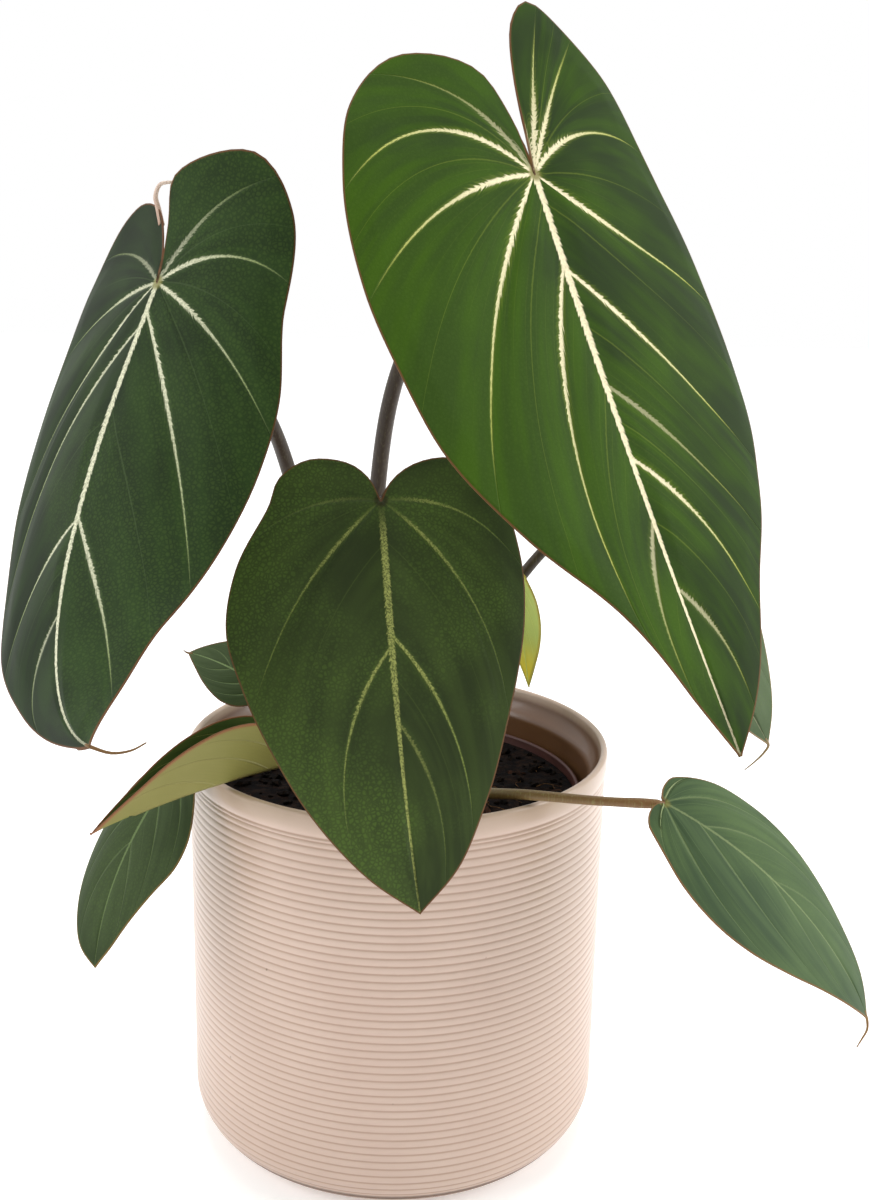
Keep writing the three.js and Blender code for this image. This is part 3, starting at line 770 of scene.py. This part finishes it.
def vein_rows(leaf, part):
    """For each row of the sheet: its foot on the midrib, its place on the margin, its vein number
    (whole on a vein), that vein's strength and its bow. Veins whose feet are within the fan's
    reach of the joint share the first rows, which fan out from it."""
    count = leaf["fineness"][0]
    fan = round(FAN_SHARE * count)
    line, run = margin(leaf, part)
    veins = part["veins"]
    in_fan = sum(foot < FAN_REACH for foot, *_ in veins)
    rows, runs = [0], [0.0]
    for number, (foot, end_x, end_y, *_) in enumerate(veins, 1):
        share = (foot / leaf["length"]) ** (1 / FOOT_EASE)
        rows.append(fan * number / (in_fan + 0.4) if foot < FAN_REACH
                    else fan + (count - fan) * share)
        runs.append(run[np.argmin(np.hypot(line[:, 0] - end_x, line[:, 1] - end_y))])
    rows.append(count)
    runs.append(run[-1])
    row = np.arange(count + 1)
    foot = leaf["length"] * (np.clip(row - fan, 0, None) / (count - fan)) ** FOOT_EASE
    reach = np.interp(row, rows, runs)
    number = np.interp(row, rows, [0.5] + list(range(1, len(veins) + 1)) + [len(veins) + 0.5])
    whole = range(1, len(veins) + 1)
    strength = np.interp(number, whole, [vein[3] for vein in veins])
    bow = np.interp(number, whole, [vein[4] for vein in veins])
    end = np.stack([np.interp(reach, run, line[:, k]) for k in (0, 1)], 1)
    calm = np.clip((row - 0.3 * rows[1]) / (0.7 * rows[1]), 0, 1)
    return foot, end, number, strength, bow * calm ** 2 * (3 - 2 * calm)


def flat_rows(foot, end, bow, shares):
    """Flat points on arching rows: each leaves the midrib and turns towards the tip."""
    start_point = np.stack([foot, 0 * foot], 1)
    chord = end - start_point
    length = np.linalg.norm(chord, axis=1, keepdims=True)
    way = chord / np.maximum(length, 1e-9)
    bend = bow[:, None] * length * np.stack([-way[:, 1], way[:, 0]], 1)
    middle = start_point + chord / 2 + bend
    s = shares[None, :, None]
    return ((1 - s) ** 2 * start_point[:, None] + 2 * s * (1 - s) * middle[:, None]
            + s ** 2 * end[:, None])


# %% Measure the flat sheet for the material
def edge_distance(flat, line):
    """How far each flat point is from the margin, in mm."""
    near = np.full(flat.shape[:2], 1e9)
    for a, b in zip(line[:-1:2], line[2::2]):
        way = b - a
        t = np.clip(((flat - a) @ way) / max(way @ way, 1e-12), 0, 1)
        near = np.minimum(near, np.linalg.norm(flat - a - t[..., None] * way, axis=-1))
    return near


def row_spacing(flat, number):
    """How many mm apart two whole vein numbers are at each point of the sheet."""
    along = np.gradient(flat, axis=1)
    along /= np.maximum(np.linalg.norm(along, axis=2, keepdims=True), 1e-9)
    across = np.gradient(flat, axis=0)
    step = np.gradient(number)[:, None]
    return np.abs(along[..., 0] * across[..., 1] - along[..., 1] * across[..., 0]) / step


# %% Build one blade
BLADE_THICKNESS = 0.45
PILLOW_SHARE, PILLOW_MOST = 0.055, 1.1
WAVE_LENGTH, WAVE_HEIGHT = 30.0, 1.1
VEINS_ON_MAP = 16


def swell(leaf, flat, number, strength, spacing, edge, shares, seed):
    """How far the blade stands proud, in mm: pillows between veins, and a slow waviness."""
    between = np.abs(number - np.rint(number))[:, None]
    pillow = np.sin(math.pi * between) * np.minimum(PILLOW_SHARE * spacing, PILLOW_MOST)
    pillow *= strength[:, None] * np.clip(edge / 7, 0, 1) * np.clip(shares[None] / 0.12, 0, 1)
    wave = np.array([[noise.noise(Vector((x, y, seed))) for x, y in row]
                     for row in flat / WAVE_LENGTH])
    return pillow + WAVE_HEIGHT * wave * shares[None] * min(1, leaf["length"] / 120)


def blade_half(leaf, key, hand, shares, seed):
    """One half of a blade: its points, its values for the material, and its rows' numbers."""
    part = leaf[key]
    foot, end, number, strength, bow = vein_rows(leaf, part)
    flat = flat_rows(foot, end, bow, shares)
    edge = edge_distance(flat, margin(leaf, part)[0])
    spacing = row_spacing(flat, number)
    lift = swell(leaf, flat, number, strength, spacing, edge, shares, seed + hand)
    points = bent(leaf, part, hand, flat[..., 0], flat[..., 1], lift)
    # Veins are widest a quarter of the way out, and the midrib a third of the way down.
    lengthwise = flat[..., 0] / leaf["length"]
    vein_width = leaf["vein"] * (0.62 + 0.55 * np.exp(-((shares - 0.25) / 0.2) ** 2))
    vein_width = (vein_width * (1 - 0.75 * shares ** 1.3))[None]
    rib_width = leaf["rib"] * (0.8 + 0.45 * np.exp(-((lengthwise - 0.35) / 0.28) ** 2))
    rib_width = rib_width * (1 - 0.7 * np.clip(lengthwise, 0, 1))
    above_joint = 3 * np.clip(-flat[..., 0] / 4, 0, 1)
    values = {
        "vein_scale": spacing / vein_width,
        "vein_strength": np.broadcast_to(strength[:, None], edge.shape),
        "rib": np.abs(flat[..., 1]) / rib_width + above_joint,
        "edge": edge,
        "lengthwise": lengthwise,
        "hub": np.hypot(flat[..., 0], flat[..., 1]),
        "side": np.broadcast_to(hand * shares[None], edge.shape),
    }
    return points, values, number


def blade(name, leaf, upper, under, seed):
    """One leaf blade as a closed sheet less than half a millimetre thick."""
    count, across = leaf["fineness"]
    shares = np.linspace(0, 1, across + 1)
    left, right = (blade_half(leaf, key, hand, shares, seed)
                   for key, hand in (("left", -1), ("right", 1)))

    def pick(column, row, on_left, on_right):
        step = np.abs(row - across)
        chosen = row < across
        return np.where(chosen[:, None] if on_left.ndim > 2 else chosen,
                        on_left[column, step], on_right[column, step])

    def place(column, row):
        return pick(column, row, left[0], right[0])

    piece, column, row = laid_grid(name, count + 1, 2 * across + 1, place)
    mesh = piece.data
    for title in left[1]:
        give_attribute(piece, title, pick(column, row, left[1][title], right[1][title]))
    corner = np.empty(len(mesh.loops), int)
    mesh.loops.foreach_get("vertex_index", corner)
    start_row = row[corner].reshape(-1, 4).max(1).repeat(4)
    numbers = np.where(start_row <= across, left[2][column[corner]], right[2][column[corner]])
    veins = mesh.uv_layers.active
    veins.name = "veins"
    pairs = np.stack([numbers / VEINS_ON_MAP, np.abs(row[corner] - across) / across], 1)
    veins.data.foreach_set("uv", pairs.ravel().astype(np.float32))
    mesh.materials.append(upper)
    mesh.materials.append(under)
    weld()
    bpy.ops.object.shade_smooth()
    body = piece.modifiers.new("thickness", "SOLIDIFY")
    body.thickness, body.offset = BLADE_THICKNESS * MM, -1
    body.material_offset, body.material_offset_rim = 1, 0
    bpy.ops.object.modifier_apply(modifier=body.name)
    return piece


# %% [markdown]
# ### Velvet
# The upper face of this leaf is covered with tiny dome-shaped cells that catch light at a grazing
# angle: that is what makes it velvety. Principled sheen does that. Veins have no such cells and
# little green, so they are cream, and they feather out at their edges. The margin is a thin
# red-brown cord.

# %% Distance to the nearest vein
def nearest_vein(tree, repeat):
    """With so many veins to a vein number: the count of veins here, the share of the way out,
    the side of the nearest vein that this is on, and how many vein widths away its middle is."""
    spot = add_node(tree, "UVMap", uv_map="veins")[0]
    number, outward = add_node(tree, "SeparateXYZ", {0: spot})[:2]
    scale = add_node(tree, "Attribute", attribute_name="vein_scale")["Fac"]
    count = add_node(tree, "Math", {0: number, 1: float(VEINS_ON_MAP * repeat)}, **TIMES)[0]
    whole = add_node(tree, "Math", {0: count}, operation="ROUND")[0]
    apart = add_node(tree, "Math", {0: count, 1: whole}, operation="SUBTRACT")[0]
    hand = add_node(tree, "Math", {0: apart}, operation="SIGN")[0]
    apart = add_node(tree, "Math", {0: apart}, operation="ABSOLUTE")[0]
    apart = add_node(tree, "Math", {0: apart, 1: scale}, **TIMES)[0]
    return count, outward, hand, apart


# %% Lines along the veins
TEETH_OUT, TEETH_DOWN = 70.0, 120.0
TEETH_ASIDE = 5.0


def frayed(tree, apart, run, across, reach):
    """Frays a vein's edge: teeth of about 0.8 mm, which lean towards the margin."""
    leaning = add_node(tree, "Math", {0: apart, 1: -1.4, 2: run}, **TIMES_PLUS)[0]
    spot = add_node(tree, "CombineXYZ", {0: leaning, 1: across})[0]
    tooth = add_node(tree, "TexNoise", {"Vector": spot, "Scale": 1.0, "Detail": 3.0,
                                        "Roughness": 0.65})[0]
    shove = add_node(tree, "MapRange", {0: tooth, 1: 0.3, 2: 0.7, 3: -reach, 4: reach})[0]
    return add_node(tree, "Math", {0: shove, 1: apart}, operation="ADD")[0]


def vein_line(tree, repeat, inner, outer, reach=0.0):
    """1 on every vein of that count, fading to 0 between the inner and outer half widths, with
    its edge frayed as far as the reach."""
    count, outward, hand, apart = nearest_vein(tree, repeat)
    if reach:
        run = add_node(tree, "Math", {0: outward, 1: TEETH_OUT}, **TIMES)[0]
        across = add_node(tree, "Math", {0: hand, 1: TEETH_ASIDE, 2: count}, **TIMES_PLUS)[0]
        apart = frayed(tree, apart, run, across, reach)
    return add_node(tree, "MapRange", {0: apart, 1: inner, 2: outer, **FADE}, **SMOOTH)[0]


def midrib_line(tree, length, side):
    """1 on the midrib, frayed like a vein and fainter towards the tip."""
    rib = add_node(tree, "Attribute", attribute_name="rib")["Fac"]
    run = add_node(tree, "Math", {0: length, 1: TEETH_DOWN}, **TIMES)[0]
    hand = add_node(tree, "Math", {0: side}, operation="SIGN")[0]
    across = add_node(tree, "Math", {0: hand, 1: TEETH_ASIDE}, **TIMES)[0]
    edge = frayed(tree, rib, run, across, 0.45)
    middle = add_node(tree, "MapRange", {0: edge, 1: 0.65, 2: 1.1, **FADE}, **SMOOTH)[0]
    tipwards = add_node(tree, "MapRange", {0: length, 1: 0.8, 2: 1.0, 3: 1.0, 4: 0.45})[0]
    return add_node(tree, "Math", {0: middle, 1: tipwards}, **TIMES)[0]


# %% Green between the veins
def mottled(tree, place, cloud, side, painted_light_lean, netting):
    """The shares of fresher green and of netting. The green drifts over about 30 mm; painted light
    and shade lean it to one half, and painted satin highlights run in streaks with the veins; the
    net has cells of 1.2 mm."""
    # Painted light and shade: the lean makes one half of the blade fresher and the other deeper
    # green.
    drift_and_painted_light = add_node(tree, "Math", {0: side, 1: painted_light_lean, 2: cloud}, **TIMES_PLUS)[0]
    drift_and_painted_light = add_node(tree, "MapRange", {0: drift_and_painted_light, 1: 0.32, 2: 0.68}, **SMOOTH)[0]
    drawn = add_node(tree, "Mapping", {"Vector": add_node(tree, "UVMap", uv_map="veins")[0],
                                       "Scale": (70.0, 1.6, 1.0)})[0]
    # Painted light: the streaks stand in for the satin light that the pillows between veins catch.
    streak = add_node(tree, "TexNoise", {"Vector": drawn, "Scale": 1.0, "Detail": 3.0})[0]
    streak = add_node(tree, "MapRange", {0: streak, 1: 0.35, 2: 0.7}, **SMOOTH)[0]
    cells = add_node(tree, "TexVoronoi", {"Vector": place, "Scale": 850.0},
                     feature="DISTANCE_TO_EDGE")["Distance"]
    cells = add_node(tree, "MapRange", {0: cells, 1: 0.04, 2: 0.3, 3: 0.0, 4: netting})[0]
    cells = add_node(tree, "Math", {0: cells, 1: drift_and_painted_light}, **TIMES)[0]
    return add_node(tree, "Mix", {0: 0.5, 2: drift_and_painted_light, 3: streak})[0], cells


# %% Velvet for the upper face
def velvet(name, deep, fresh, vein, halo, tail="#b0b25c", edge="#6b4630", vein_share=1.0,
           fine_share=0.3, sheen=0.06, gloss=0.1, netting=0.12, net="#5f7a34", speckle=0.2,
           painted_light_lean=0.0, joint="#77743f", dark_joint=0.0):
    """The upper face of a blade. Vein numbers come from the UV map, widths from attributes."""
    material, tree, shader = new_material(
        name, IOR=1.42, Sheen_Weight=sheen, Sheen_Roughness=0.35,
        Sheen_Tint=colour("#c3cfb9"), Specular_IOR_Level=gloss)
    place = add_node(tree, "TexCoord")["Object"]
    outward = add_node(tree, "SeparateXYZ", {0: add_node(tree, "UVMap", uv_map="veins")[0]})[1]
    strength, rim, length, hub, side = (
        add_node(tree, "Attribute", attribute_name=title)["Fac"]
        for title in ("vein_strength", "edge", "lengthwise", "hub", "side"))
    grit = add_node(tree, "TexNoise", {"Vector": place, "Scale": 1900.0, "Detail": 3.0,
                                       "Roughness": 0.7})[0]
    cloud = add_node(tree, "TexNoise", {"Vector": place, "Scale": 32.0, "Detail": 2.0})[0]
    # Veins die out before the margin, each a little differently.
    late = add_node(tree, "Math", {0: cloud, 1: 0.35, 2: outward}, **TIMES_PLUS)[0]
    alive = add_node(tree, "MapRange", {0: late, 1: 0.85, 2: 1.14, **FADE}, **SMOOTH)[0]
    vigour = add_node(tree, "Math", {0: strength, 1: alive}, **TIMES)[0]
    main = add_node(tree, "Math", {0: vein_line(tree, 1, 0.6, 1.05, 0.8), 1: vigour}, **TIMES)[0]
    pale = add_node(tree, "Math", {0: main, 1: midrib_line(tree, length, side)},
                    operation="MAXIMUM")[0]
    # They can start dark at the joint, and green cells stray into them.
    started = add_node(tree, "MapRange", {0: hub, 1: 2.0, 2: 14.0, 3: 1.0 - dark_joint, 4: 1.0},
                       **SMOOTH)[0]
    stray = add_node(tree, "MapRange", {0: grit, 1: 0.42, 2: 0.56, 3: 1.0 - speckle, 4: 1.0})[0]
    for share in (started, stray, vein_share):
        pale = add_node(tree, "Math", {0: pale, 1: share}, **TIMES)[0]
    # A halo of paler green lies along each vein.
    glow = add_node(tree, "Math", {0: vein_line(tree, 1, 0.6, 2.8, 1.1), 1: vigour}, **TIMES)[0]
    glow = add_node(tree, "Math", {0: glow, 1: 0.45}, **TIMES)[0]
    # One thin vein half way between two main ones, and hair-fine ones that come and go.
    between = vein_line(tree, 2, 0.3, 0.9, 0.4)
    between = add_node(tree, "Math", {0: between, 1: fine_share}, **TIMES)[0]
    patchy = add_node(tree, "MapRange", {0: cloud, 1: 0.45, 2: 0.6, 3: 0.0, 4: 0.4 * fine_share})[0]
    hair = add_node(tree, "Math", {0: vein_line(tree, 7, 0.3, 1.3, 0.3), 1: patchy}, **TIMES)[0]
    fine = add_node(tree, "Math", {0: between, 1: hair}, operation="MAXIMUM")[0]
    # Painted light and shade lie in the fresher green: it leans to one half and runs in satin
    # streaks.
    green_and_painted_light, cells = mottled(tree, place, cloud, side, painted_light_lean, netting)
    # Veins are creamiest near the midrib. The joint is a dull nub, and the margin a brown cord.
    faded = add_node(tree, "MapRange", {0: outward, 1: 0.15, 2: 0.85}, **SMOOTH)[0]
    cream = add_node(tree, "Mix", {FACTOR: faded, FIRST: colour(vein), SECOND: colour(tail)},
                     **LAYER)[MIXED]
    nub = add_node(tree, "MapRange", {0: hub, 1: 1.2, 2: 2.8, 3: 0.85, 4: 0.0}, **SMOOTH)[0]
    cord = add_node(tree, "MapRange", {0: rim, 1: 0.2, 2: 0.55, 3: 0.8, 4: 0.0}, **SMOOTH)[0]
    rough = add_node(tree, "MapRange", {0: pale, 3: 0.55, 4: 0.42})[0]
    # Veins lie in shallow troughs; the velvet itself is a grain of 0.5 mm.
    trough = add_node(tree, "Math", {0: vein_line(tree, 1, 0.2, 2.2), 1: -1.0}, **TIMES)[0]
    height = add_node(tree, "Math", {0: grit, 1: 0.15, 2: trough}, **TIMES_PLUS)[0]
    coats = ((green_and_painted_light, fresh), (cells, net), (fine, halo), (glow, halo), (pale, cream),
             (nub, joint), (cord, edge))
    wire_surface(tree, shader, deep, coats, rough, height, 0.5, 0.4)
    return material


# %% Under face
def under_skin(name, base, pale, edge, streak="#5e6b38", tip=None):
    """The lower face: no velvet, a waxy pale skin with raised veins and fine parallel lines."""
    material, tree, shader = new_material(name, IOR=1.45, Specular_IOR_Level=0.4)
    place = add_node(tree, "TexCoord")["Object"]
    rib, rim, length = (add_node(tree, "Attribute", attribute_name=title)["Fac"]
                        for title in ("rib", "edge", "lengthwise"))
    middle = add_node(tree, "MapRange", {0: rib, 1: 0.7, 2: 1.2, **FADE}, **SMOOTH)[0]
    raised = add_node(tree, "Math", {0: vein_line(tree, 1, 0.3, 1.3), 1: middle},
                      operation="MAXIMUM")[0]
    cloud = add_node(tree, "TexNoise", {"Vector": place, "Scale": 60.0, "Detail": 3.0})[0]
    ripe = add_node(tree, "MapRange", {0: length, 1: 0.45, 2: 0.9}, **SMOOTH)[0]
    fine = add_node(tree, "Math", {0: vein_line(tree, 7, 0.3, 1.0), 1: 0.35}, **TIMES)[0]
    bright = add_node(tree, "Math", {0: raised, 1: 0.85}, **TIMES)[0]
    cord = add_node(tree, "MapRange", {0: rim, 1: 0.4, 2: 1.2, 3: 0.9, 4: 0.0}, **SMOOTH)[0]
    rough = add_node(tree, "MapRange", {0: cloud, 3: 0.45, 4: 0.6})[0]
    ripening = ((ripe, tip),) if tip else ()
    coats = ((cloud, pale), *ripening, (fine, streak), (bright, pale), (cord, edge))
    tint = wire_surface(tree, shader, base, coats, rough, raised, 0.6, 0.6)
    if tip:
        # Painted light: the skin glows a little in its own colour, standing in for the room's light
        # that comes through so young and thin a blade.
        tree.links.new(tint, shader.inputs["Emission Color"])
        shader.inputs["Emission Strength"].default_value = 0.28
    return material


# %% One finish for each leaf
plain_under = under_skin("waxy_under_skin", "#5d6e42", "#8f9d6b", "#70523a")
young_under = under_skin("young_under_skin", "#7a7638", "#8e8950", "#8f5b3c", "#606232")
lime_under = under_skin("lime_under_skin", "#a3b562", "#c0cd6c", "#b0a544", "#9aab4c", tip="#dccb43")
# A finish's lean paints light and shade: one half of its blade lighter, the other darker.
FINISHES = {
    "right_large": velvet("bright_velvet", "#27351b", "#375212", "#e9deba", "#6f7f30",
                          tail="#aeb25a", netting=0.05, sheen=0.03, gloss=0.06, painted_light_lean=-0.25),
    "left_large": velvet("grey_green_velvet", "#1a2415", "#283b1a", "#d4d4b6", "#4c5d3a",
                         tail="#8a9860", sheen=0.09, speckle=0.45, painted_light_lean=0.25),
    "front_centre": velvet("olive_velvet", "#2f3921", "#404f28", "#a6ab62", "#52632f",
                           tail="#7b8a46", vein_share=0.9, netting=0.45, net="#56702f",
                           speckle=0.75, joint="#2c2a1a", dark_joint=0.9, painted_light_lean=-0.15),
    "right_small": velvet("soft_velvet", "#3a4c33", "#50643f", "#8a9668", "#667a50",
                          tail="#78885a", edge="#86603f", vein_share=0.5, painted_light_lean=0.12),
    "left_small": velvet("shaded_velvet", "#303c24", "#3d4b2e", "#6d8052", "#536340",
                         tail="#627348", edge="#7d6339", vein_share=0.7),
    "left_folded": velvet("young_velvet", "#3f4f26", "#53652f", "#8a8e50", "#6d7440",
                          edge="#83503a"),
    "left_back": velvet("dark_velvet", "#344128", "#434f34", "#6c7e54", "#53623f",
                        tail="#62734c"),
    "back_young": velvet("lime_velvet", "#8a9c50", "#a0b05a", "#b9bf70", "#a8b35c",
                         edge="#a3903f", net="#a8b35c"),
    "right_back": velvet("dull_velvet", "#46553a", "#57654a", "#a3a688", "#6a7a5a",
                         tail="#8a9472", edge="#8f775c"),
}
UNDER_FACES = {"left_folded": young_under, "back_young": lime_under}
print("finishes:", len(FINISHES))

# %% Lay out all blades
# A thread ends some blades: its way from the tip in mm, and its thickness at the tip.
THREADS = {
    "left_large": (((4.5, 0, -1.4), (9, 0.5, -0.9), (12.5, 1, 0.9)), 0.55),
    "right_small": (((0.2, -0.6, -3.2), (-1.2, -1, -6.2), (-2.6, -1.2, -9)), 0.5),
    "right_back": (((-1.5, 0, -3), (-4.5, 0, -6.4), (-8, -1, -9)), 0.6),
    "left_back": (((-0.8, 0, 0.3), (-1.7, 0, 1)), 0.5),
}
MIDDLE_OF_SHEET = -0.2


def thread_tip(leaf, way, thick, skin):
    """The dry thread that a blade's midrib runs out into; it takes the margin's colour."""
    inside, tip = bent(leaf, leaf["left"], -1, leaf["length"] - np.array([3.0, 0.0]),
                       np.zeros(2), np.full(2, MIDDLE_OF_SHEET))
    curve = smooth_curve([inside, tip] + [tip + np.array(step) for step in way], 4)
    thread = tube("thread", curve, np.linspace(thick, 0.18, len(curve)), 8)
    thread.data.uv_layers.active.name = "veins"
    thread.data.attributes.remove(thread.data.attributes["along"])
    thread.data.materials.append(skin)
    return thread


for seed, (name, leaf) in enumerate(LEAVES.items()):
    under = UNDER_FACES.get(name, plain_under)
    piece = blade(f"leaf_{name}", leaf, FINISHES[name], under, 10.0 * seed)
    if name in THREADS:
        piece = joined(f"leaf_{name}", [piece, thread_tip(leaf, *THREADS[name], FINISHES[name])])
    declare(piece, "young_blade" if name in UNDER_FACES else "velvet_blade", f"blade_{name}")


# %% [markdown]
# ## Petioles and crown
# Each blade hangs on its own round leaf stalk, the petiole. It is thickest where it sheathes the
# crown, thins upwards, and swells again at the joint, which lets the blade turn to the light. The
# skin is dark purple-brown with fine lengthwise streaks.

# %% Petiole skin
def petiole_skin(name, low, high, streak):
    """Smooth plant skin, lightly waxy; the colour changes from the base to the joint."""
    material, tree, shader = new_material(name, IOR=1.42, Specular_IOR_Level=0.45)
    place = add_node(tree, "TexCoord")["Object"]
    along = add_node(tree, "Attribute", attribute_name="along")["Fac"]
    # Streaks 0.5 mm wide and about 12 mm long, because petioles stand nearly upright.
    drawn = add_node(tree, "Mapping", {"Vector": place, "Scale": (1800.0, 1800.0, 80.0)})[0]
    fibre = add_node(tree, "TexNoise", {"Vector": drawn, "Scale": 1.0, "Detail": 3.0})[0]
    mark = add_node(tree, "MapRange", {0: fibre, 1: 0.5, 2: 0.72, 3: 0.0, 4: 0.6}, **SMOOTH)[0]
    rough = add_node(tree, "MapRange", {0: fibre, 3: 0.35, 4: 0.55})[0]
    wire_surface(tree, shader, low, ((along, high), (mark, streak)), rough, fibre, 0.25, 0.3)
    return material


dark_skin = petiole_skin("purple_brown_petiole", "#43352a", "#352820", "#5c523e")
green_skin = petiole_skin("green_brown_petiole", "#5a5a34", "#785431", "#857e4e")

# %% Petioles
GREEN_STALKS = ("right_small", "left_folded", "back_young")
for name, leaf in LEAVES.items():
    place, along, _, normal = joint_frame(leaf)
    thick, thin = leaf["stalk_radius"]
    # A stalk in line with its blade runs into its end; the others meet it from below.
    end = place + 0.3 * along - 0.5 * normal if leaf.get("meets_end") else place - 0.7 * normal
    curve = smooth_curve(list(leaf["stalk"]) + [end], 10)
    share = np.linspace(0, 1, len(curve))
    radii = thick + (thin - thick) * share
    radii *= 1 + 0.16 * np.exp(-((share - 0.93) / 0.05) ** 2) + 0.22 * np.exp(-(share / 0.06) ** 2)
    radii[-1] *= 0.55
    piece = tube(f"petiole_{name}", curve, radii, 20)
    piece.data.materials.append(green_skin if name in GREEN_STALKS else dark_skin)
    declare(piece, "stalk_skin", f"stalk_{name}")

# %% Dry curl
# The left lobe of the grey-green blade ends in a dry, pinkish margin that curls over.
leaf = LEAVES["left_large"]
lobe = bent(leaf, leaf["left"], -1, np.array([-17.0, -22.0]), np.array([6.0, 9.0]),
            np.full(2, MIDDLE_OF_SHEET))
curl_way = [lobe[1] + np.array(step) for step in ((-0.6, 0, 3.2), (0.8, 0, 6.4), (4.4, 0, 7.2))]
curl_line = smooth_curve([lobe[0], lobe[1]] + curl_way, 6)
curl = tube("dry_curl", curl_line, np.linspace(0.9, 0.45, len(curl_line)), 10)
curl.data.materials.append(petiole_skin("dry_margin", "#a98a76", "#d6c4b6", "#8b6a55"))
declare(curl, "velvet_blade")

# %% Crown
CROWN_FOOT, CROWN_HEIGHT, CROWN_RADIUS = 119.4, 12.3, 8.6
SCAR_RINGS, SCAR_DEPTH = 5, 0.45
CROWN_STEPS = 24
crown_profile = [(0, CROWN_FOOT - 0.2), (CROWN_RADIUS - 0.2, CROWN_FOOT - 0.2)]
for k in range(1, CROWN_STEPS):
    share = k / CROWN_STEPS
    scar = SCAR_DEPTH * math.cos(share * 2 * math.pi * SCAR_RINGS) * (1 - share)
    dome = CROWN_RADIUS * math.cos(share * math.pi / 2) ** 0.55
    crown_profile.append((dome + scar, CROWN_FOOT + CROWN_HEIGHT * share))
crown_profile.append((0, CROWN_FOOT + CROWN_HEIGHT))
crown = turned("crown_scarred", crown_profile, 40)
for vertex in crown.data.vertices:
    bump = noise.noise(vertex.co * 220) * 0.7 * MM
    out = Vector((vertex.co.x, vertex.co.y, 0))
    if out.length > 0.1 * MM and vertex.co.z > (CROWN_FOOT + 0.2) * MM:
        vertex.co += out.normalized() * bump
give_attribute(crown, "along", np.zeros(len(crown.data.vertices)))
crown.data.materials.append(petiole_skin("corky_crown", "#5b4630", "#5b4630", "#8a7350"))
declare(crown, "stalk_skin", "crown")

# %% [markdown]
# ## Floor and finish
# A plain pale floor catches a soft shadow.

# %% Floor
floor = start("floor", bpy.ops.mesh.primitive_plane_add, size=6)
# The floor is lit from below a little, as a studio table is, so that it stays white far off.
floor_paint = new_material("white_floor", Roughness=0.7, Base_Color=colour("#fafafa"),
                           Emission_Color=(1, 1, 1, 1), Emission_Strength=0.28)[0]
floor.data.materials.append(floor_paint)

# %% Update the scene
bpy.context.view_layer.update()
